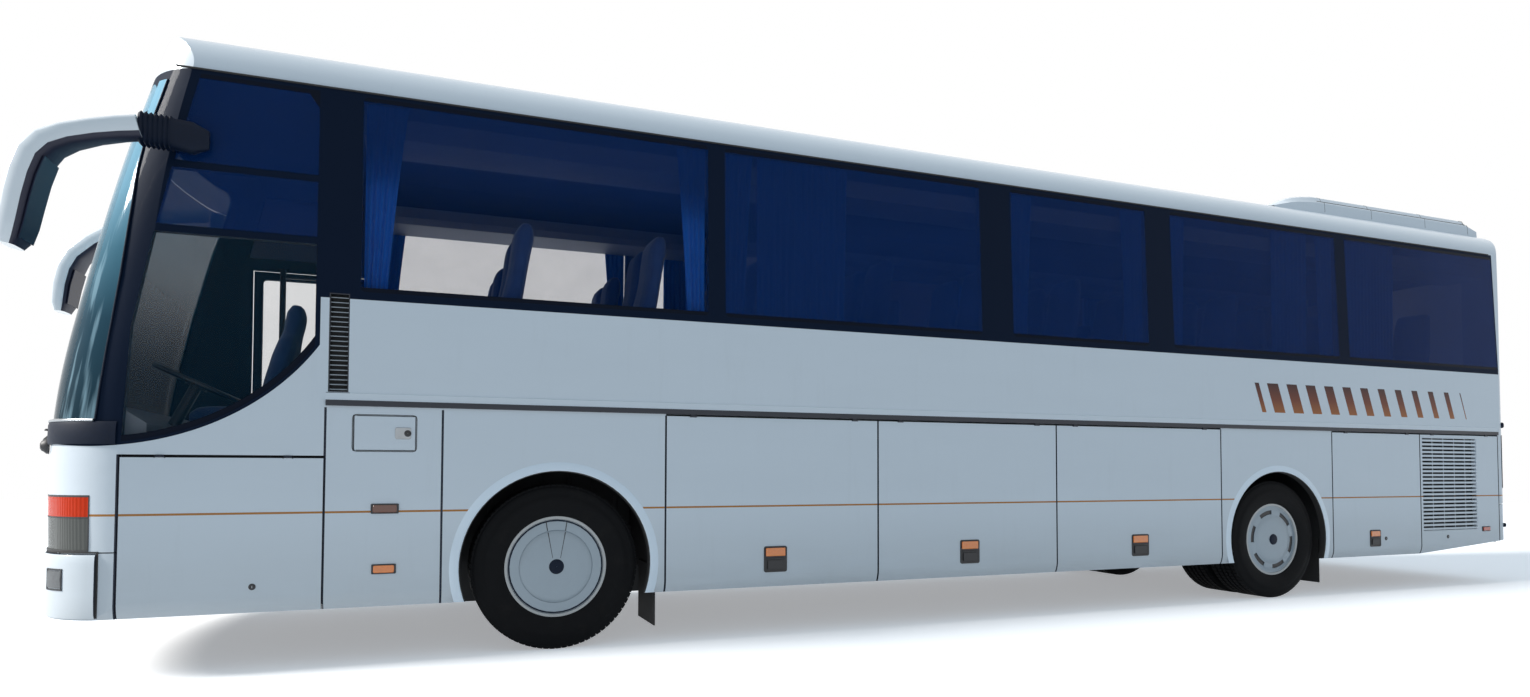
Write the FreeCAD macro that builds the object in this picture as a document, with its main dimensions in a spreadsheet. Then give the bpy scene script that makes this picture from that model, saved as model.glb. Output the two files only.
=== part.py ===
import FreeCAD, Part
import Sketcher
import math
import os

# Coach bus: two axles, high deck, luggage bays under the floor, engine at the rear.
# Millimetres, +X forward, +Y to the vehicle's left, +Z up.  The origin is on the ground,
# on the centre line, half way along the length with the forward mirror counted in.

doc = FreeCAD.newDocument("CoachBus")
sheet = doc.addObject("Spreadsheet::Sheet", "dims")

# Driving dimensions, one cell each, grouped by the assembly that they drive.
dimensions = {
    # whole body
    "bodyLength": 12000, "bodyWidth": 2500, "bodyHeight": 3510, "mirrorReach": 570,
    "wallThickness": 50, "glassThickness": 8, "panelGap": 8, "seatGap": 0.3, "runGap": 6,
    # heights above the ground
    "skirtHeight": 320, "tailSkirtHeight": 440, "skirtRollHeight": 80, "skirtRollDepth": 24,
     "railHeight": 1444, "beltHeight": 2090,
    "glassTopHeight": 3215, "roofJointHeight": 3240, "bumperHeight": 665,
    "noseFlapHeight": 1165,
    # plan form and front rake
    "noseBulgeRadius": 4000, "cornerRadius": 430, "tailCornerRadius": 170,
    "rakeStartHeight": 1300, "rakeMidHeight": 2360, "rakeTopHeight": 3240,
    "rakeMidSetback": 195, "rakeTopSetback": 425, "roofEdgeRadius": 235, "sideTumble": 38,
    "roofFrontDrop": 62, "roofFrontRun": 900, "headerRadius": 260, "tailRadius": 180,
    # axles
    "frontOverhang": 2720, "wheelbase": 6080, "wheelBayHalf": 665,
    "archRadius": 570, "archHeight": 515, "wheelhouseHalf": 610, "wheelhouseTop": 1130,
    # wheels
    "hubHeight": 500, "tyreWidth": 295, "rimRadius": 286, "tyreShoulder": 34, "trackOuter": 1200,
    "discThickness": 16, "rimWall": 9, "hubRadius": 150, "twinGap": 45, "kingpinOffset": 270,
    "beamWidth": 120, "axleTubeRadius": 85, "diffRadius": 215,
    # side panels, measured back from the nose or along the body
    "noseToFlap": 492, "fuelPanelLength": 611, "bayOneLength": 1522, "bayTwoLength": 1537,
    "coolerFlapLength": 1185, "engineFlapLength": 1166,
    # side windows, from the front one back
    "noseToWindow": 1610, "windowOne": 2056, "windowTwo": 1997, "windowThree": 1314,
    "windowFour": 1944, "windowFive": 2118, "pillarOne": 117, "pillarTwo": 280,
    "pillarThree": 270, "pillarFour": 134, "windowRadius": 28,
    # driver's window and windscreen
    "cabWindowStart": 1385, "cabWindowSill": 1831, "cabWindowNose": 500, "cabWindowFoot": 1235,
    "cabWindowTopNose": 700, "cabSweepRadius": 1246, "cabSweepForward": 1032,
    "cabSweepHeight": 2469, "transomLow": 2360, "transomHigh": 2710,
    "transomHeight": 40, "screenHalfWidth": 1095, "screenBottom": 1262, "screenTop": 3190,
    "screenSeam": 3020, "screenRadius": 90,
    # doors on the right side
    "frontDoorStart": 1570, "doorLength": 840, "doorBottom": 372, "doorTop": 2640,
    "doorGap": 12, "doorArm": 430,
    "doorPostRadius": 22, "doorGlassInset": 70, "doorGlassBottom": 960,
    # fuel filler door and grilles
    "fuelDoorRear": 139, "fuelDoorLength": 330, "fuelDoorBottom": 1194, "fuelDoorTop": 1395,
    "fuelDoorThickness": 14, "grilleInset": 34, "grilleLength": 791, "grilleBottom": 533,
    "grilleTop": 1400, "slatCount": 24, "slatHeight": 14, "slatDepth": 30,
    "ventLength": 103, "ventBottom": 1520, "ventTop": 2073, "ventCount": 20, "ventBack": 1557,
    # rail and roof
    "railProud": 12, "railThickness": 30, "mouldThickness": 40, "mouldProud": 6,
    "acFront": 9080, "acRear": 11960, "acHalfWidth": 1030, "acTop": 3650, "acNoseRun": 420,
    "hatchLength": 760, "hatchWidth": 560, "hatchHeight": 45, "hatchFrontAt": 3900,
    "hatchRearAt": 7700,
    # floors
    "deckHeight": 1500, "aisleHeight": 1330, "aisleHalf": 215, "deckThickness": 40,
    "bayFloorHeight": 480, "bayFloorThickness": 45, "bulkheadThickness": 40,
    "platformHeight": 960, "platformFront": 520,
    "railBeamHeight": 160, "railBeamWidth": 80, "railBeamOffset": 400,
    "stepCount": 4, "stairDepth": 740, "stairSideThickness": 20,
    # engine bay
    "engineLength": 1350, "engineHalfWidth": 345, "engineBottom": 420, "engineTop": 1290,
    "engineBack": 420, "engineFootLength": 140, "engineFootHeight": 90, "engineFootInset": 160,
    "lidHalfWidth": 930, "lidBottom": 800, "lidTop": 1950,
    "rearWindowHalf": 880, "rearWindowBottom": 2150, "rearWindowTop": 3080,
    "rearBumperTop": 770, "bumperGap": 6, "plateLength": 540, "plateHeight": 130,
    "plateMiddle": 600, "plateRecess": 6,
    # lamps
    "headLampBottom": 673, "headLampTop": 951, "headLampInner": 640, "headLampLength": 364,
    "fogBottom": 484, "fogTop": 582, "fogInner": 860, "fogLength": 230,
    "tailLampBottom": 930, "tailLampTop": 1440, "tailLampWidth": 110, "tailLampInner": 1040,
    # mirrors
    "bootLeftRear": 840, "bootLeftFront": 560, "bootLeftBottom": 2750, "bootLeftTop": 2925,
    "bootLeftOut": 165, "bootRightRear": 720, "bootRightFront": 385, "bootRightBottom": 2960,
    "bootRightTop": 3110, "bootRadius": 40,
    # interior
    "seatPitch": 860, "seatRows": 11, "seatCushionHeight": 420, "seatCushionDepth": 450,
    "seatBackTop": 1170, "seatThickness": 110, "seatWidth": 840, "seatInner": 270,
    "firstSeatBack": 2600, "backRecline": 160, "rackBottom": 3010, "rackTop": 3130,
    "rackInner": 720, "curtainThickness": 24,
    "dashHeight": 560, "steeringRadius": 235, "steeringTilt": 25,
    "driverSeatAt": 1120, "driverSeatSide": 520, "driverSeatWidth": 480,
    # below
    "mudflapWidth": 420, "mudflapBottom": 100, "mudflapThickness": 8,
    "wiperLength": 780, "wiperRadius": 11,
    # hinges, bearings and other small fits
    "fuelPinInset": 14, "fuelPinRadius": 4, "hingeDrop": 10, "hingePinRadius": 7,
    "hingePinLength": 40, "hingeInset": 180, "riserThickness": 30, "flapClear": 10,
    "houseSheet": 10, "railBeamBottom": 640, "eyeHalf": 100, "earThickness": 30,
    "earRadius": 55, "springRadius": 105, "kingpinRadius": 22, "stubRadius": 40,
    "spindleRadius": 30, "spindleLength": 60, "hubProud": 62, "treadThickness": 20,
    "doorPivotInset": 215, "doorPostOffset": 50, "doorArmWidth": 30, "doorArmHeight": 20,
    "doorLowArm": 880, "doorHighArm": 2580, "doorPinRadius": 10, "doorLugHeight": 22,
    "dashSkirt": 120, "towOffset": 350, "towHeight": 420, "towDepth": 220, "towSink": 26,
    "towBoreRadius": 20,
    "mudflapInner": 740, "curtainSetOut": 0.5, "curtainBottom": 2110,
}


class Size:
    """A length in millimetres with the sheet formula that gives it."""

    def __init__(self, value, formula):
        self.value = float(value)
        self.formula = formula

    def __float__(self):
        return self.value

    def __neg__(self):
        return Size(-self.value, f"(0 - {self.formula})")

    def __add__(self, other):
        other = as_size(other)
        return Size(self.value + other.value, f"({self.formula} + {other.formula})")

    def __sub__(self, other):
        other = as_size(other)
        return Size(self.value - other.value, f"({self.formula} - {other.formula})")

    def __mul__(self, other):
        other = as_size(other)
        return Size(self.value * other.value, f"({self.formula} * {other.formula})")

    def __truediv__(self, other):
        other = as_size(other)
        return Size(self.value / other.value, f"({self.formula} / {other.formula})")

    def __radd__(self, other):
        return as_size(other) + self

    def __rsub__(self, other):
        return as_size(other) - self

    def __rmul__(self, other):
        return as_size(other) * self


def as_size(number):
    if isinstance(number, Size):
        return number
    text = f"{float(number):.6f}"
    return Size(number, f"({text})" if float(number) < 0 else text)


for row, (alias, number) in enumerate(dimensions.items(), start=1):
    sheet.set(f"A{row}", alias)
    sheet.set(f"B{row}", str(number))
    sheet.setAlias(f"B{row}", alias)
doc.recompute()

dim = {alias: Size(number, f"dims.{alias}") for alias, number in dimensions.items()}


# Helpers that make bound objects of the document.

def bind(obj, prop, size):
    obj.setExpression(prop, as_size(size).formula)


def place(obj, x=0, y=0, z=0):
    for letter, size in zip("xyz", (x, y, z)):
        bind(obj, f"Placement.Base.{letter}", size)


def box(name, x0, x1, y0, y1, z0, z1):
    """A block between two corners."""
    block = doc.addObject("Part::Box", name)
    bind(block, "Length", x1 - as_size(x0))
    bind(block, "Width", y1 - as_size(y0))
    bind(block, "Height", z1 - as_size(z0))
    place(block, x0, y0, z0)
    return block


turns = {
    "Z": FreeCAD.Rotation(),
    "X": FreeCAD.Rotation(FreeCAD.Vector(0, 1, 0), 90),
    "Y": FreeCAD.Rotation(FreeCAD.Vector(1, 0, 0), -90),
}


def cylinder(name, axis, radius, length, x, y, z):
    """A round bar that starts at x, y, z and runs along +X, +Y or +Z."""
    bar = doc.addObject("Part::Cylinder", name)
    bind(bar, "Radius", radius)
    bind(bar, "Height", length)
    bar.Placement = FreeCAD.Placement(FreeCAD.Vector(), turns[axis])
    place(bar, x, y, z)
    return bar


def cut(name, base, tools):
    whole = tools[0] if len(tools) == 1 else fuse(name + "Tools", tools)
    result = doc.addObject("Part::Cut", name)
    result.Base = base
    result.Tool = whole
    return result


def fuse(name, shapes):
    result = doc.addObject("Part::MultiFuse", name)
    result.Shapes = shapes
    return result


def common(name, first, second):
    result = doc.addObject("Part::MultiCommon", name)
    result.Shapes = [first, second]
    return result


def group(name, shapes):
    """Like pieces that share a node and don't touch."""
    result = doc.addObject("Part::Compound", name)
    result.Links = shapes
    return result


def mirrored(name, source):
    """The same piece on the other side of the centre line."""
    result = doc.addObject("Part::Mirroring", name)
    result.Source = source
    result.Normal = FreeCAD.Vector(0, 1, 0)
    return result


planes = {"XY": "XY_Plane", "XZ": "XZ_Plane", "YZ": "YZ_Plane"}
planeNormals = {"XY": (0, 0, 1), "XZ": (0, 1, 0), "YZ": (1, 0, 0)}


def outline_sketch(body, plane, points, name):
    """A closed outline of straight lines whose corners are bound to the sheet."""
    sketch = body.newObject("Sketcher::SketchObject", name)
    origin = [part for part in body.Origin.OriginFeatures if part.Role == planes[plane]][0]
    sketch.AttachmentSupport = (origin, [""])
    sketch.MapMode = "FlatFace"
    corners = [FreeCAD.Vector(float(a), float(b), 0) for a, b in points]
    count = len(corners)
    for i in range(count):
        sketch.addGeometry(Part.LineSegment(corners[i], corners[(i + 1) % count]))
    for i in range(count):
        sketch.addConstraint(Sketcher.Constraint("Coincident", i, 2, (i + 1) % count, 1))
    for i, (a, b) in enumerate(points):
        for direction, size in (("DistanceX", a), ("DistanceY", b)):
            mark = sketch.addConstraint(
                Sketcher.Constraint(direction, -1, 1, i, 1, float(size)))
            if isinstance(size, Size):
                sketch.setExpression(f"Constraints[{mark}]", size.formula)
    return sketch


def plate(name, plane, points, low, high, radius=None):
    """An outline in a plane, padded between two positions on the axis across that plane."""
    body = doc.addObject("PartDesign::Body", name)
    sketch = outline_sketch(body, plane, points, name + "Outline")
    pad = body.newObject("PartDesign::Pad", name + "Pad")
    pad.Profile = sketch
    bind(pad, "Length", high - as_size(low))
    if plane == "XY":
        place(body, 0, 0, low)
    elif plane == "XZ":
        place(body, 0, high, 0)
    else:
        place(body, low, 0, 0)
    if radius is not None:
        doc.recompute()
        across = FreeCAD.Vector(*planeNormals[plane])
        names = []
        for i, edge in enumerate(pad.Shape.Edges, start=1):
            along = edge.Vertexes[-1].Point - edge.Vertexes[0].Point
            if along.Length > 0 and abs(along.normalize().dot(across)) > 0.999:
                names.append(f"Edge{i}")
        fillet = body.newObject("PartDesign::Fillet", name + "Fillet")
        fillet.Base = (pad, names)
        bind(fillet, "Radius", radius)
    return body


def ring(name, points, x, z):
    """A shape turned about an axis along Y: points are radius and place along the axis."""
    body = doc.addObject("PartDesign::Body", name)
    sketch = outline_sketch(body, "YZ", [(along, radius) for radius, along in points],
                            name + "Outline")
    turned = body.newObject("PartDesign::Revolution", name + "Turned")
    turned.Profile = sketch
    turned.ReferenceAxis = (sketch, ["H_Axis"])
    turned.Angle = 360
    place(body, x, 0, z)
    return body


def made(name, shape):
    """A piece whose form needs Part's own functions."""
    feature = doc.addObject("Part::Feature", name)
    feature.Shape = shape
    return feature


nodes = []


def node(piece, label):
    """Marks a finished sub-part, whose label names its file."""
    piece.Label = label
    nodes.append(piece)
    return piece


# Stations along the body.

nose = (dim["bodyLength"] - dim["mirrorReach"]) / 2
tail = nose - dim["bodyLength"]
halfWidth = dim["bodyWidth"] / 2
wall = dim["wallThickness"]
frontAxle = nose - dim["frontOverhang"]
rearAxle = frontAxle - dim["wheelbase"]
gap = dim["panelGap"]

flapFront = nose - dim["noseToFlap"]
wheelBayFront = frontAxle + dim["wheelBayHalf"]
flapRear = wheelBayFront + dim["fuelPanelLength"]
bayStart = frontAxle - dim["wheelBayHalf"]
baySecond = bayStart - dim["bayOneLength"]
bayThird = baySecond - dim["bayTwoLength"]
bayEnd = rearAxle + dim["wheelBayHalf"]
rearPanel = rearAxle - dim["wheelBayHalf"]
engineFlap = rearPanel - dim["coolerFlapLength"]
tailPanel = engineFlap - dim["engineFlapLength"]
innerWall = halfWidth - wall
rollBow = 0.27                  # how far in the foot's arc is half way up, as a share
trim = 4                        # a sliver that a later cut takes off
spare = 200                     # how far a cutting form runs on past what it cuts
beyond = 100                    # the same for the boxes that pick out a region
wallReach = 150                 # from the inner wall inwards, past the roof's lean


# The body's outer skin, and the same form set in by a thickness.

def plan_outline(setback, inset, height):
    """The body seen from above at one height: bowed nose, round corners, straight sides."""
    front = nose.value - setback - inset
    back = tail.value + inset
    side = halfWidth.value + 2 - inset
    corner = dim["cornerRadius"].value - inset
    bulge = dim["noseBulgeRadius"].value - inset
    tailCorner = dim["tailCornerRadius"].value - inset
    # the corner arc touches the side line and the nose arc from inside
    cornerY = side - corner
    reach = bulge - corner
    cornerX = front - bulge + math.sqrt(reach ** 2 - cornerY ** 2)
    lean = math.atan2(cornerY, cornerX - (front - bulge))
    meetX = front - bulge + bulge * math.cos(lean)
    meetY = bulge * math.sin(lean)
    midAngle = (lean + math.pi / 2) / 2
    cornerMid = (cornerX + corner * math.cos(midAngle), cornerY + corner * math.sin(midAngle))
    s = math.sqrt(0.5)
    tailX = back + tailCorner
    tailY = side - tailCorner

    def at(x, y):
        return FreeCAD.Vector(x, y, height)

    edges = [
        Part.Arc(at(meetX, -meetY), at(front, 0), at(meetX, meetY)).toShape(),
        Part.Arc(at(meetX, meetY), at(*cornerMid), at(cornerX, side)).toShape(),
        Part.LineSegment(at(cornerX, side), at(tailX, side)).toShape(),
        Part.Arc(at(tailX, side), at(tailX - s * tailCorner, tailY + s * tailCorner),
                 at(back, tailY)).toShape(),
        Part.LineSegment(at(back, tailY), at(back, -tailY)).toShape(),
        Part.Arc(at(back, -tailY), at(tailX - s * tailCorner, -tailY - s * tailCorner),
                 at(tailX, -side)).toShape(),
        Part.LineSegment(at(tailX, -side), at(cornerX, -side)).toShape(),
        Part.Arc(at(cornerX, -side), at(cornerMid[0], -cornerMid[1]),
                 at(meetX, -meetY)).toShape(),
    ]
    return Part.Wire(edges)


def rake_setback(height):
    """How far the nose lies back at a height: upright below, then raked and bowed."""
    start = dim["rakeStartHeight"].value
    if height <= start:
        return 0.0
    mid = dim["rakeMidHeight"].value - start
    top = dim["rakeTopHeight"].value - start
    # parabola through the two measured setbacks
    a = (dim["rakeTopSetback"].value / top - dim["rakeMidSetback"].value / mid) / (top - mid)
    b = dim["rakeMidSetback"].value / mid - a * mid
    rise = height - start
    return a * rise ** 2 + b * rise


def arc_through(start, mid, end):
    return Part.Arc(FreeCAD.Vector(*start), FreeCAD.Vector(*mid), FreeCAD.Vector(*end)).toShape()


def line(start, end):
    return Part.LineSegment(FreeCAD.Vector(*start), FreeCAD.Vector(*end)).toShape()


def round_corner(centre, radius, fromAngle, toAngle, plane):
    """A quarter arc or less in a plane, by its centre and two angles in degrees."""
    points = []
    for angle in (fromAngle, (fromAngle + toAngle) / 2, toAngle):
        a = centre[0] + radius * math.cos(math.radians(angle))
        b = centre[1] + radius * math.sin(math.radians(angle))
        points.append((0, a, b) if plane == "YZ" else (a, 0, b))
    return arc_through(*points), points[0], points[2]


def section_prism(inset):
    """The cross-section: upright skirt, sides that lean in over the belt, arched roof."""
    side = halfWidth.value - inset
    low = dim["skirtHeight"].value - 60
    belt = dim["beltHeight"].value
    edge = dim["roofEdgeRadius"].value - inset
    lean = dim["sideTumble"].value
    jointZ = dim["roofJointHeight"].value
    crown = dim["bodyHeight"].value - inset
    edgeY = side - lean - edge
    # the edge arc ends where the shallow crown arc takes over
    endAngle = 66.0
    arc, first, last = round_corner((edgeY, jointZ), edge, 0, endAngle, "YZ")
    top = arc_through(last, (0, 0, crown), (0, -last[1], last[2]))
    arcR, firstR, _ = round_corner((-edgeY, jointZ), edge, 180, 180 - endAngle, "YZ")
    # only the outer skin rolls under at its foot
    rollTop = dim["skirtHeight"].value + dim["skirtRollHeight"].value
    rollFoot = dim["skirtHeight"].value - trim
    rollDepth = dim["skirtRollDepth"].value if inset == 0 else 0
    edges = [top]
    for sign, roofArc, roofFoot in ((1, arc, first), (-1, arcR, firstR)):
        upright = sign * side
        foot = sign * (side - rollDepth)
        if rollDepth:
            middle = (0, sign * (side - rollBow * rollDepth), (rollTop + rollFoot) / 2)
            edges += [arc_through((0, upright, rollTop), middle, (0, foot, rollFoot)),
                      line((0, foot, rollFoot), (0, foot, low)),
                      line((0, upright, rollTop), (0, upright, belt))]
        else:
            edges.append(line((0, upright, low), (0, upright, belt)))
        edges += [line((0, upright, belt), roofFoot), roofArc]
    edges.append(line((0, rollDepth - side, low), (0, side - rollDepth, low)))
    face = Part.Face(Part.Wire(Part.__sortEdges__(edges)))
    face.translate(FreeCAD.Vector(tail.value - spare, 0, 0))
    return face.extrude(FreeCAD.Vector(dim["bodyLength"].value + 2 * spare, 0, 0))


def profile_prism(inset):
    """The side view's top and bottom: rising tail skirt and a roof that falls at the nose."""
    bottom = dim["skirtHeight"].value - (0 if inset == 0 else 60)
    tailBottom = dim["tailSkirtHeight"].value - (0 if inset == 0 else 60)
    front = nose.value + spare
    back = tail.value - spare
    top = dim["bodyHeight"].value + 20 - inset
    fallEndX = nose.value - dim["rakeTopSetback"].value - dim["headerRadius"].value
    fallStartX = fallEndX - dim["roofFrontRun"].value
    drop = dim["roofFrontDrop"].value
    crown = dim["bodyHeight"].value - inset
    headerZ = crown - drop - dim["headerRadius"].value
    tailR = dim["tailRadius"].value
    riseX = engineFlap.value
    noseTopX = fallEndX + dim["headerRadius"].value * math.cos(math.radians(25)) - inset * 0.5
    noseTopZ = headerZ + dim["headerRadius"].value * math.sin(math.radians(25))
    midX = fallEndX + dim["headerRadius"].value * math.sin(math.radians(32)) - inset * 0.5
    midZ = headerZ + dim["headerRadius"].value * math.cos(math.radians(32))
    edges = [
        line((back, 0, tailBottom), (riseX, 0, bottom)),
        line((riseX, 0, bottom), (front, 0, bottom)),
        line((front, 0, bottom), (front, 0, noseTopZ - 60)),
        line((front, 0, noseTopZ - 60), (noseTopX, 0, noseTopZ)),
        arc_through((noseTopX, 0, noseTopZ), (midX, 0, midZ), (fallEndX, 0, crown - drop)),
        arc_through((fallEndX, 0, crown - drop),
                    ((fallEndX + fallStartX) / 2, 0, crown - drop * 0.3),
                    (fallStartX, 0, top)),
        line((fallStartX, 0, top), (tail.value + inset + tailR, 0, top)),
        arc_through((tail.value + inset + tailR, 0, top),
                    (tail.value + inset + tailR * 0.25, 0, top - tailR * 0.32),
                    (tail.value + inset, 0, top - tailR)),
        line((tail.value + inset, 0, top - tailR), (back, 0, top - tailR - 60)),
        line((back, 0, top - tailR - 60), (back, 0, tailBottom)),
    ]
    face = Part.Face(Part.Wire(edges))
    face.translate(FreeCAD.Vector(0, -halfWidth.value - spare, 0))
    return face.extrude(FreeCAD.Vector(0, 2 * (halfWidth.value + spare), 0))


def envelope(inset):
    """The closed body form, set in by a thickness from the outer skin."""
    low = dim["skirtHeight"].value - 100
    heights = [low, dim["rakeStartHeight"].value - 200, dim["rakeStartHeight"].value + 150,
               dim["rakeMidHeight"].value - 300, dim["rakeMidHeight"].value + 350,
               dim["rakeTopHeight"].value, dim["bodyHeight"].value + 60]
    wires = [plan_outline(rake_setback(height), inset, height) for height in heights]
    loft = Part.makeLoft(wires, True, False)
    return loft.common(section_prism(inset)).common(profile_prism(inset))


outer = made("bodyEnvelope", envelope(0))
inner = made("cabinEnvelope", envelope(wall.value))
glassInner = made("glassEnvelope", envelope(dim["glassThickness"].value))
shell = cut("bodyShell", outer, [inner])
skin = cut("glassSkin", outer, [glassInner])

far = dim["bodyWidth"]          # a reach that is sure to be outside the body
sky = dim["bodyHeight"] + 200
half = gap / 2


def slab(name, source, x0, x1, y0, y1, z0, z1):
    """The part of the shell, or of another piece, between six planes."""
    return common(name, source, box(name + "Region", x0, x1, y0, y1, z0, z1))


def side_range(sign):
    """The stretch across the body that takes in one side wall."""
    if sign > 0:
        return innerWall - wallReach, far
    return -far, wallReach - innerWall


# Roof and its fittings.

seam = dim["roofJointHeight"]
roof = slab("roof", shell, tail - beyond, nose + beyond, -far, far, seam, sky)
node(roof, "roof_shell")

acFront = nose - dim["acFront"]
acRear = nose - dim["acRear"]
acTop = dim["acTop"]
acBase = dim["roofJointHeight"]
acBlock = plate("acBlock", "XZ", [
    (acRear, acBase), (acFront, acBase), (acFront, dim["bodyHeight"] - 10),
    (acFront - dim["acNoseRun"], acTop - 40), (acFront - dim["acNoseRun"] - 260, acTop),
    (acRear + 160, acTop), (acRear, acTop - 70)],
    -dim["acHalfWidth"], dim["acHalfWidth"])
node(cut("acUnit", acBlock, [outer]), "ac_unit")

hatches = []
for at in ("hatchFrontAt", "hatchRearAt"):
    x = nose - dim[at]
    hatches.append(box(at + "Block", x - dim["hatchLength"], x, -dim["hatchWidth"] / 2,
                       dim["hatchWidth"] / 2, seam, dim["bodyHeight"] + dim["hatchHeight"]))
node(cut("hatches", group("hatchBlocks", hatches), [outer]), "roof_hatches")

# Side windows: one opening list serves the walls, the panes and the curtains.

windowSpans = []
start = nose - dim["noseToWindow"]
for length, pillar in (("windowOne", "pillarOne"), ("windowTwo", "pillarTwo"),
                       ("windowThree", "pillarThree"), ("windowFour", "pillarFour"),
                       ("windowFive", None)):
    end = start - dim[length]
    windowSpans.append((end, start))
    if pillar:
        start = end - dim[pillar]

belt = dim["beltHeight"]
glassTop = dim["glassTopHeight"]


def rectangle(x0, x1, z0, z1):
    return [(x0, z0), (x1, z0), (x1, z1), (x0, z1)]


windowTools = []
for i, (x0, x1) in enumerate(windowSpans, start=1):
    windowTools.append(plate(f"windowHole{i}", "XZ", rectangle(x0, x1, belt, glassTop),
                             innerWall - wallReach, far, dim["windowRadius"]))

# Driver's window: three panes between two bars; the lowest ends in one wide arc.
cabStart = nose - dim["cabWindowStart"]
cabNose = nose - dim["cabWindowNose"]
cabTopNose = nose - dim["cabWindowTopNose"]
barHalf = dim["transomHeight"] / 2
lowBar = dim["transomLow"]
highBar = dim["transomHigh"]
cabPanes = [
    [(cabStart, dim["cabWindowFoot"] - 30), (cabNose, dim["cabWindowFoot"] - 30),
     (cabNose - 30, dim["cabWindowSill"]), (cabNose - 120, lowBar - barHalf),
     (cabStart, lowBar - barHalf)],
    [(cabStart, lowBar + barHalf), (cabNose - 128, lowBar + barHalf),
     (cabNose - 190, highBar - barHalf), (cabStart, highBar - barHalf)],
    [(cabStart, highBar + barHalf), (cabNose - 198, highBar + barHalf),
     (cabTopNose - 110, glassTop), (cabStart, glassTop)],
]
cabTools = [plate(f"cabHole{i}", "XZ", points, innerWall - 250, far)
            for i, points in enumerate(cabPanes, start=1)]
cabSweep = cylinder("cabSweep", "Y", dim["cabSweepRadius"], 2 * far,
                    cabStart + dim["cabSweepForward"], -far, dim["cabSweepHeight"])
cabTools[0] = common("cabHoleSwept", cabTools[0], cabSweep)

ventRear = nose - dim["ventBack"]
ventFront = ventRear + dim["ventLength"]
ventHole = box("ventHole", ventRear, ventFront, innerWall - 60, far, dim["ventBottom"],
               dim["ventTop"])
rail = dim["railHeight"]
y0, y1 = side_range(1)
wallBlank = slab("wallBlank", shell, tailPanel, flapRear, y0, y1, rail, seam)
wallOpen = cut("wallOpen", wallBlank, windowTools)
node(cut("sideWallLeft", wallOpen, [ventHole]), "side_wall_left")

panesLeft = [common(f"sidePane{i}", skin, tool) for i, tool in enumerate(windowTools, start=1)]
cabLeft = [common(f"cabPane{i}", skin, tool) for i, tool in enumerate(cabTools, start=1)]
node(group("windowsLeft", panesLeft + cabLeft), "side_windows_left")

# Front door in the right side: opening, leaf with its glass, and the arm that swings it.

doorRear = nose - dim["frontDoorStart"]
doorFront = doorRear + dim["doorLength"]
doorGap = dim["doorGap"]
doorBottom = dim["doorBottom"]
doorTop = dim["doorTop"]
doorHole = box("doorHole", doorRear, doorFront, -far, wallReach - innerWall, doorBottom - 100, doorTop)
leafBlank = slab("leafBlank", shell, doorRear + doorGap, doorFront - doorGap, -far,
                 wallReach - innerWall, doorBottom, doorTop - doorGap)
inset = dim["doorGlassInset"]
paneHole = plate("doorPaneHole", "XZ", rectangle(
    doorRear + inset, doorFront - inset, dim["doorGlassBottom"], doorTop - inset),
    -far, wallReach - innerWall, dim["windowRadius"])
leafOpen = cut("leafOpen", leafBlank, [paneHole])
doorPane = common("doorPane", skin, paneHole)

wallRight = mirrored("wallRight", wallOpen)
node(cut("sideWallRight", wallRight, [doorHole]), "side_wall_right")
panesRight = [mirrored(f"sidePaneRight{i}", pane) for i, pane in enumerate(panesLeft, start=1)]
upperRight = cut("cabPaneRight", mirrored("cabPaneRightBlank", cabLeft[2]), [doorHole])
node(group("windowsRight", panesRight + [upperRight]), "side_windows_right")

# Cab frame: pillars, header and the belt round the driver's place.

screenPoints = [
    (-dim["screenHalfWidth"], dim["screenBottom"]), (dim["screenHalfWidth"], dim["screenBottom"]),
    (dim["screenHalfWidth"], dim["screenTop"]), (-dim["screenHalfWidth"], dim["screenTop"])]
screenTool = plate("screenTool", "YZ", screenPoints, nose - 900, nose + 200,
                   dim["screenRadius"])
flapTop = dim["noseFlapHeight"]
cabBlank = slab("cabBlank", shell, flapRear, nose + beyond, -far, far, flapTop, seam)
cabMirror = mirrored("cabHoleRight", cabTools[2])
cabFrame = cut("cabFrame", cabBlank, [screenTool, doorHole, cabMirror] + cabTools)
screenSplit = box("screenSplit", nose - 900, nose + 200, -far, far, dim["screenSeam"] - 4,
                  dim["screenSeam"] + 4)
screen = common("screenPane", skin, screenTool)
node(cut("windscreenPanes", screen, [screenSplit]), "windscreen")

# Nose below the windscreen, with pockets for the lamps.

bumperTop = dim["bumperHeight"]
lampTools = []
fogTools = []
for sign, word in ((1, "Left"), (-1, "Right")):
    innerEdge = dim["headLampInner"] if sign > 0 else -dim["headLampInner"]
    outerEdge = far if sign > 0 else -far
    pair = (innerEdge, outerEdge) if sign > 0 else (outerEdge, innerEdge)
    lampTools.append(box("headLampSpace" + word, nose - dim["headLampLength"], nose + beyond,
                         pair[0], pair[1], dim["headLampBottom"], dim["headLampTop"]))
    fogEdge = dim["fogInner"] if sign > 0 else -dim["fogInner"]
    fogEnd = fogEdge + dim["fogLength"] if sign > 0 else fogEdge - dim["fogLength"]
    fogPair = (fogEdge, fogEnd) if sign > 0 else (fogEnd, fogEdge)
    fogTools.append(box("fogSpace" + word, nose - 500, nose + beyond, fogPair[0], fogPair[1],
                        dim["fogBottom"], dim["fogTop"]))

noseLeft = box("noseLeft", flapFront, nose + beyond, 0, far, bumperTop, flapTop)
noseRight = box("noseRight", doorFront, nose + beyond, -far, 0, bumperTop, flapTop)
maskBlank = common("maskBlank", shell, fuse("noseRegion", [noseLeft, noseRight]))
node(cut("frontMask", maskBlank, lampTools), "front_mask")

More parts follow.
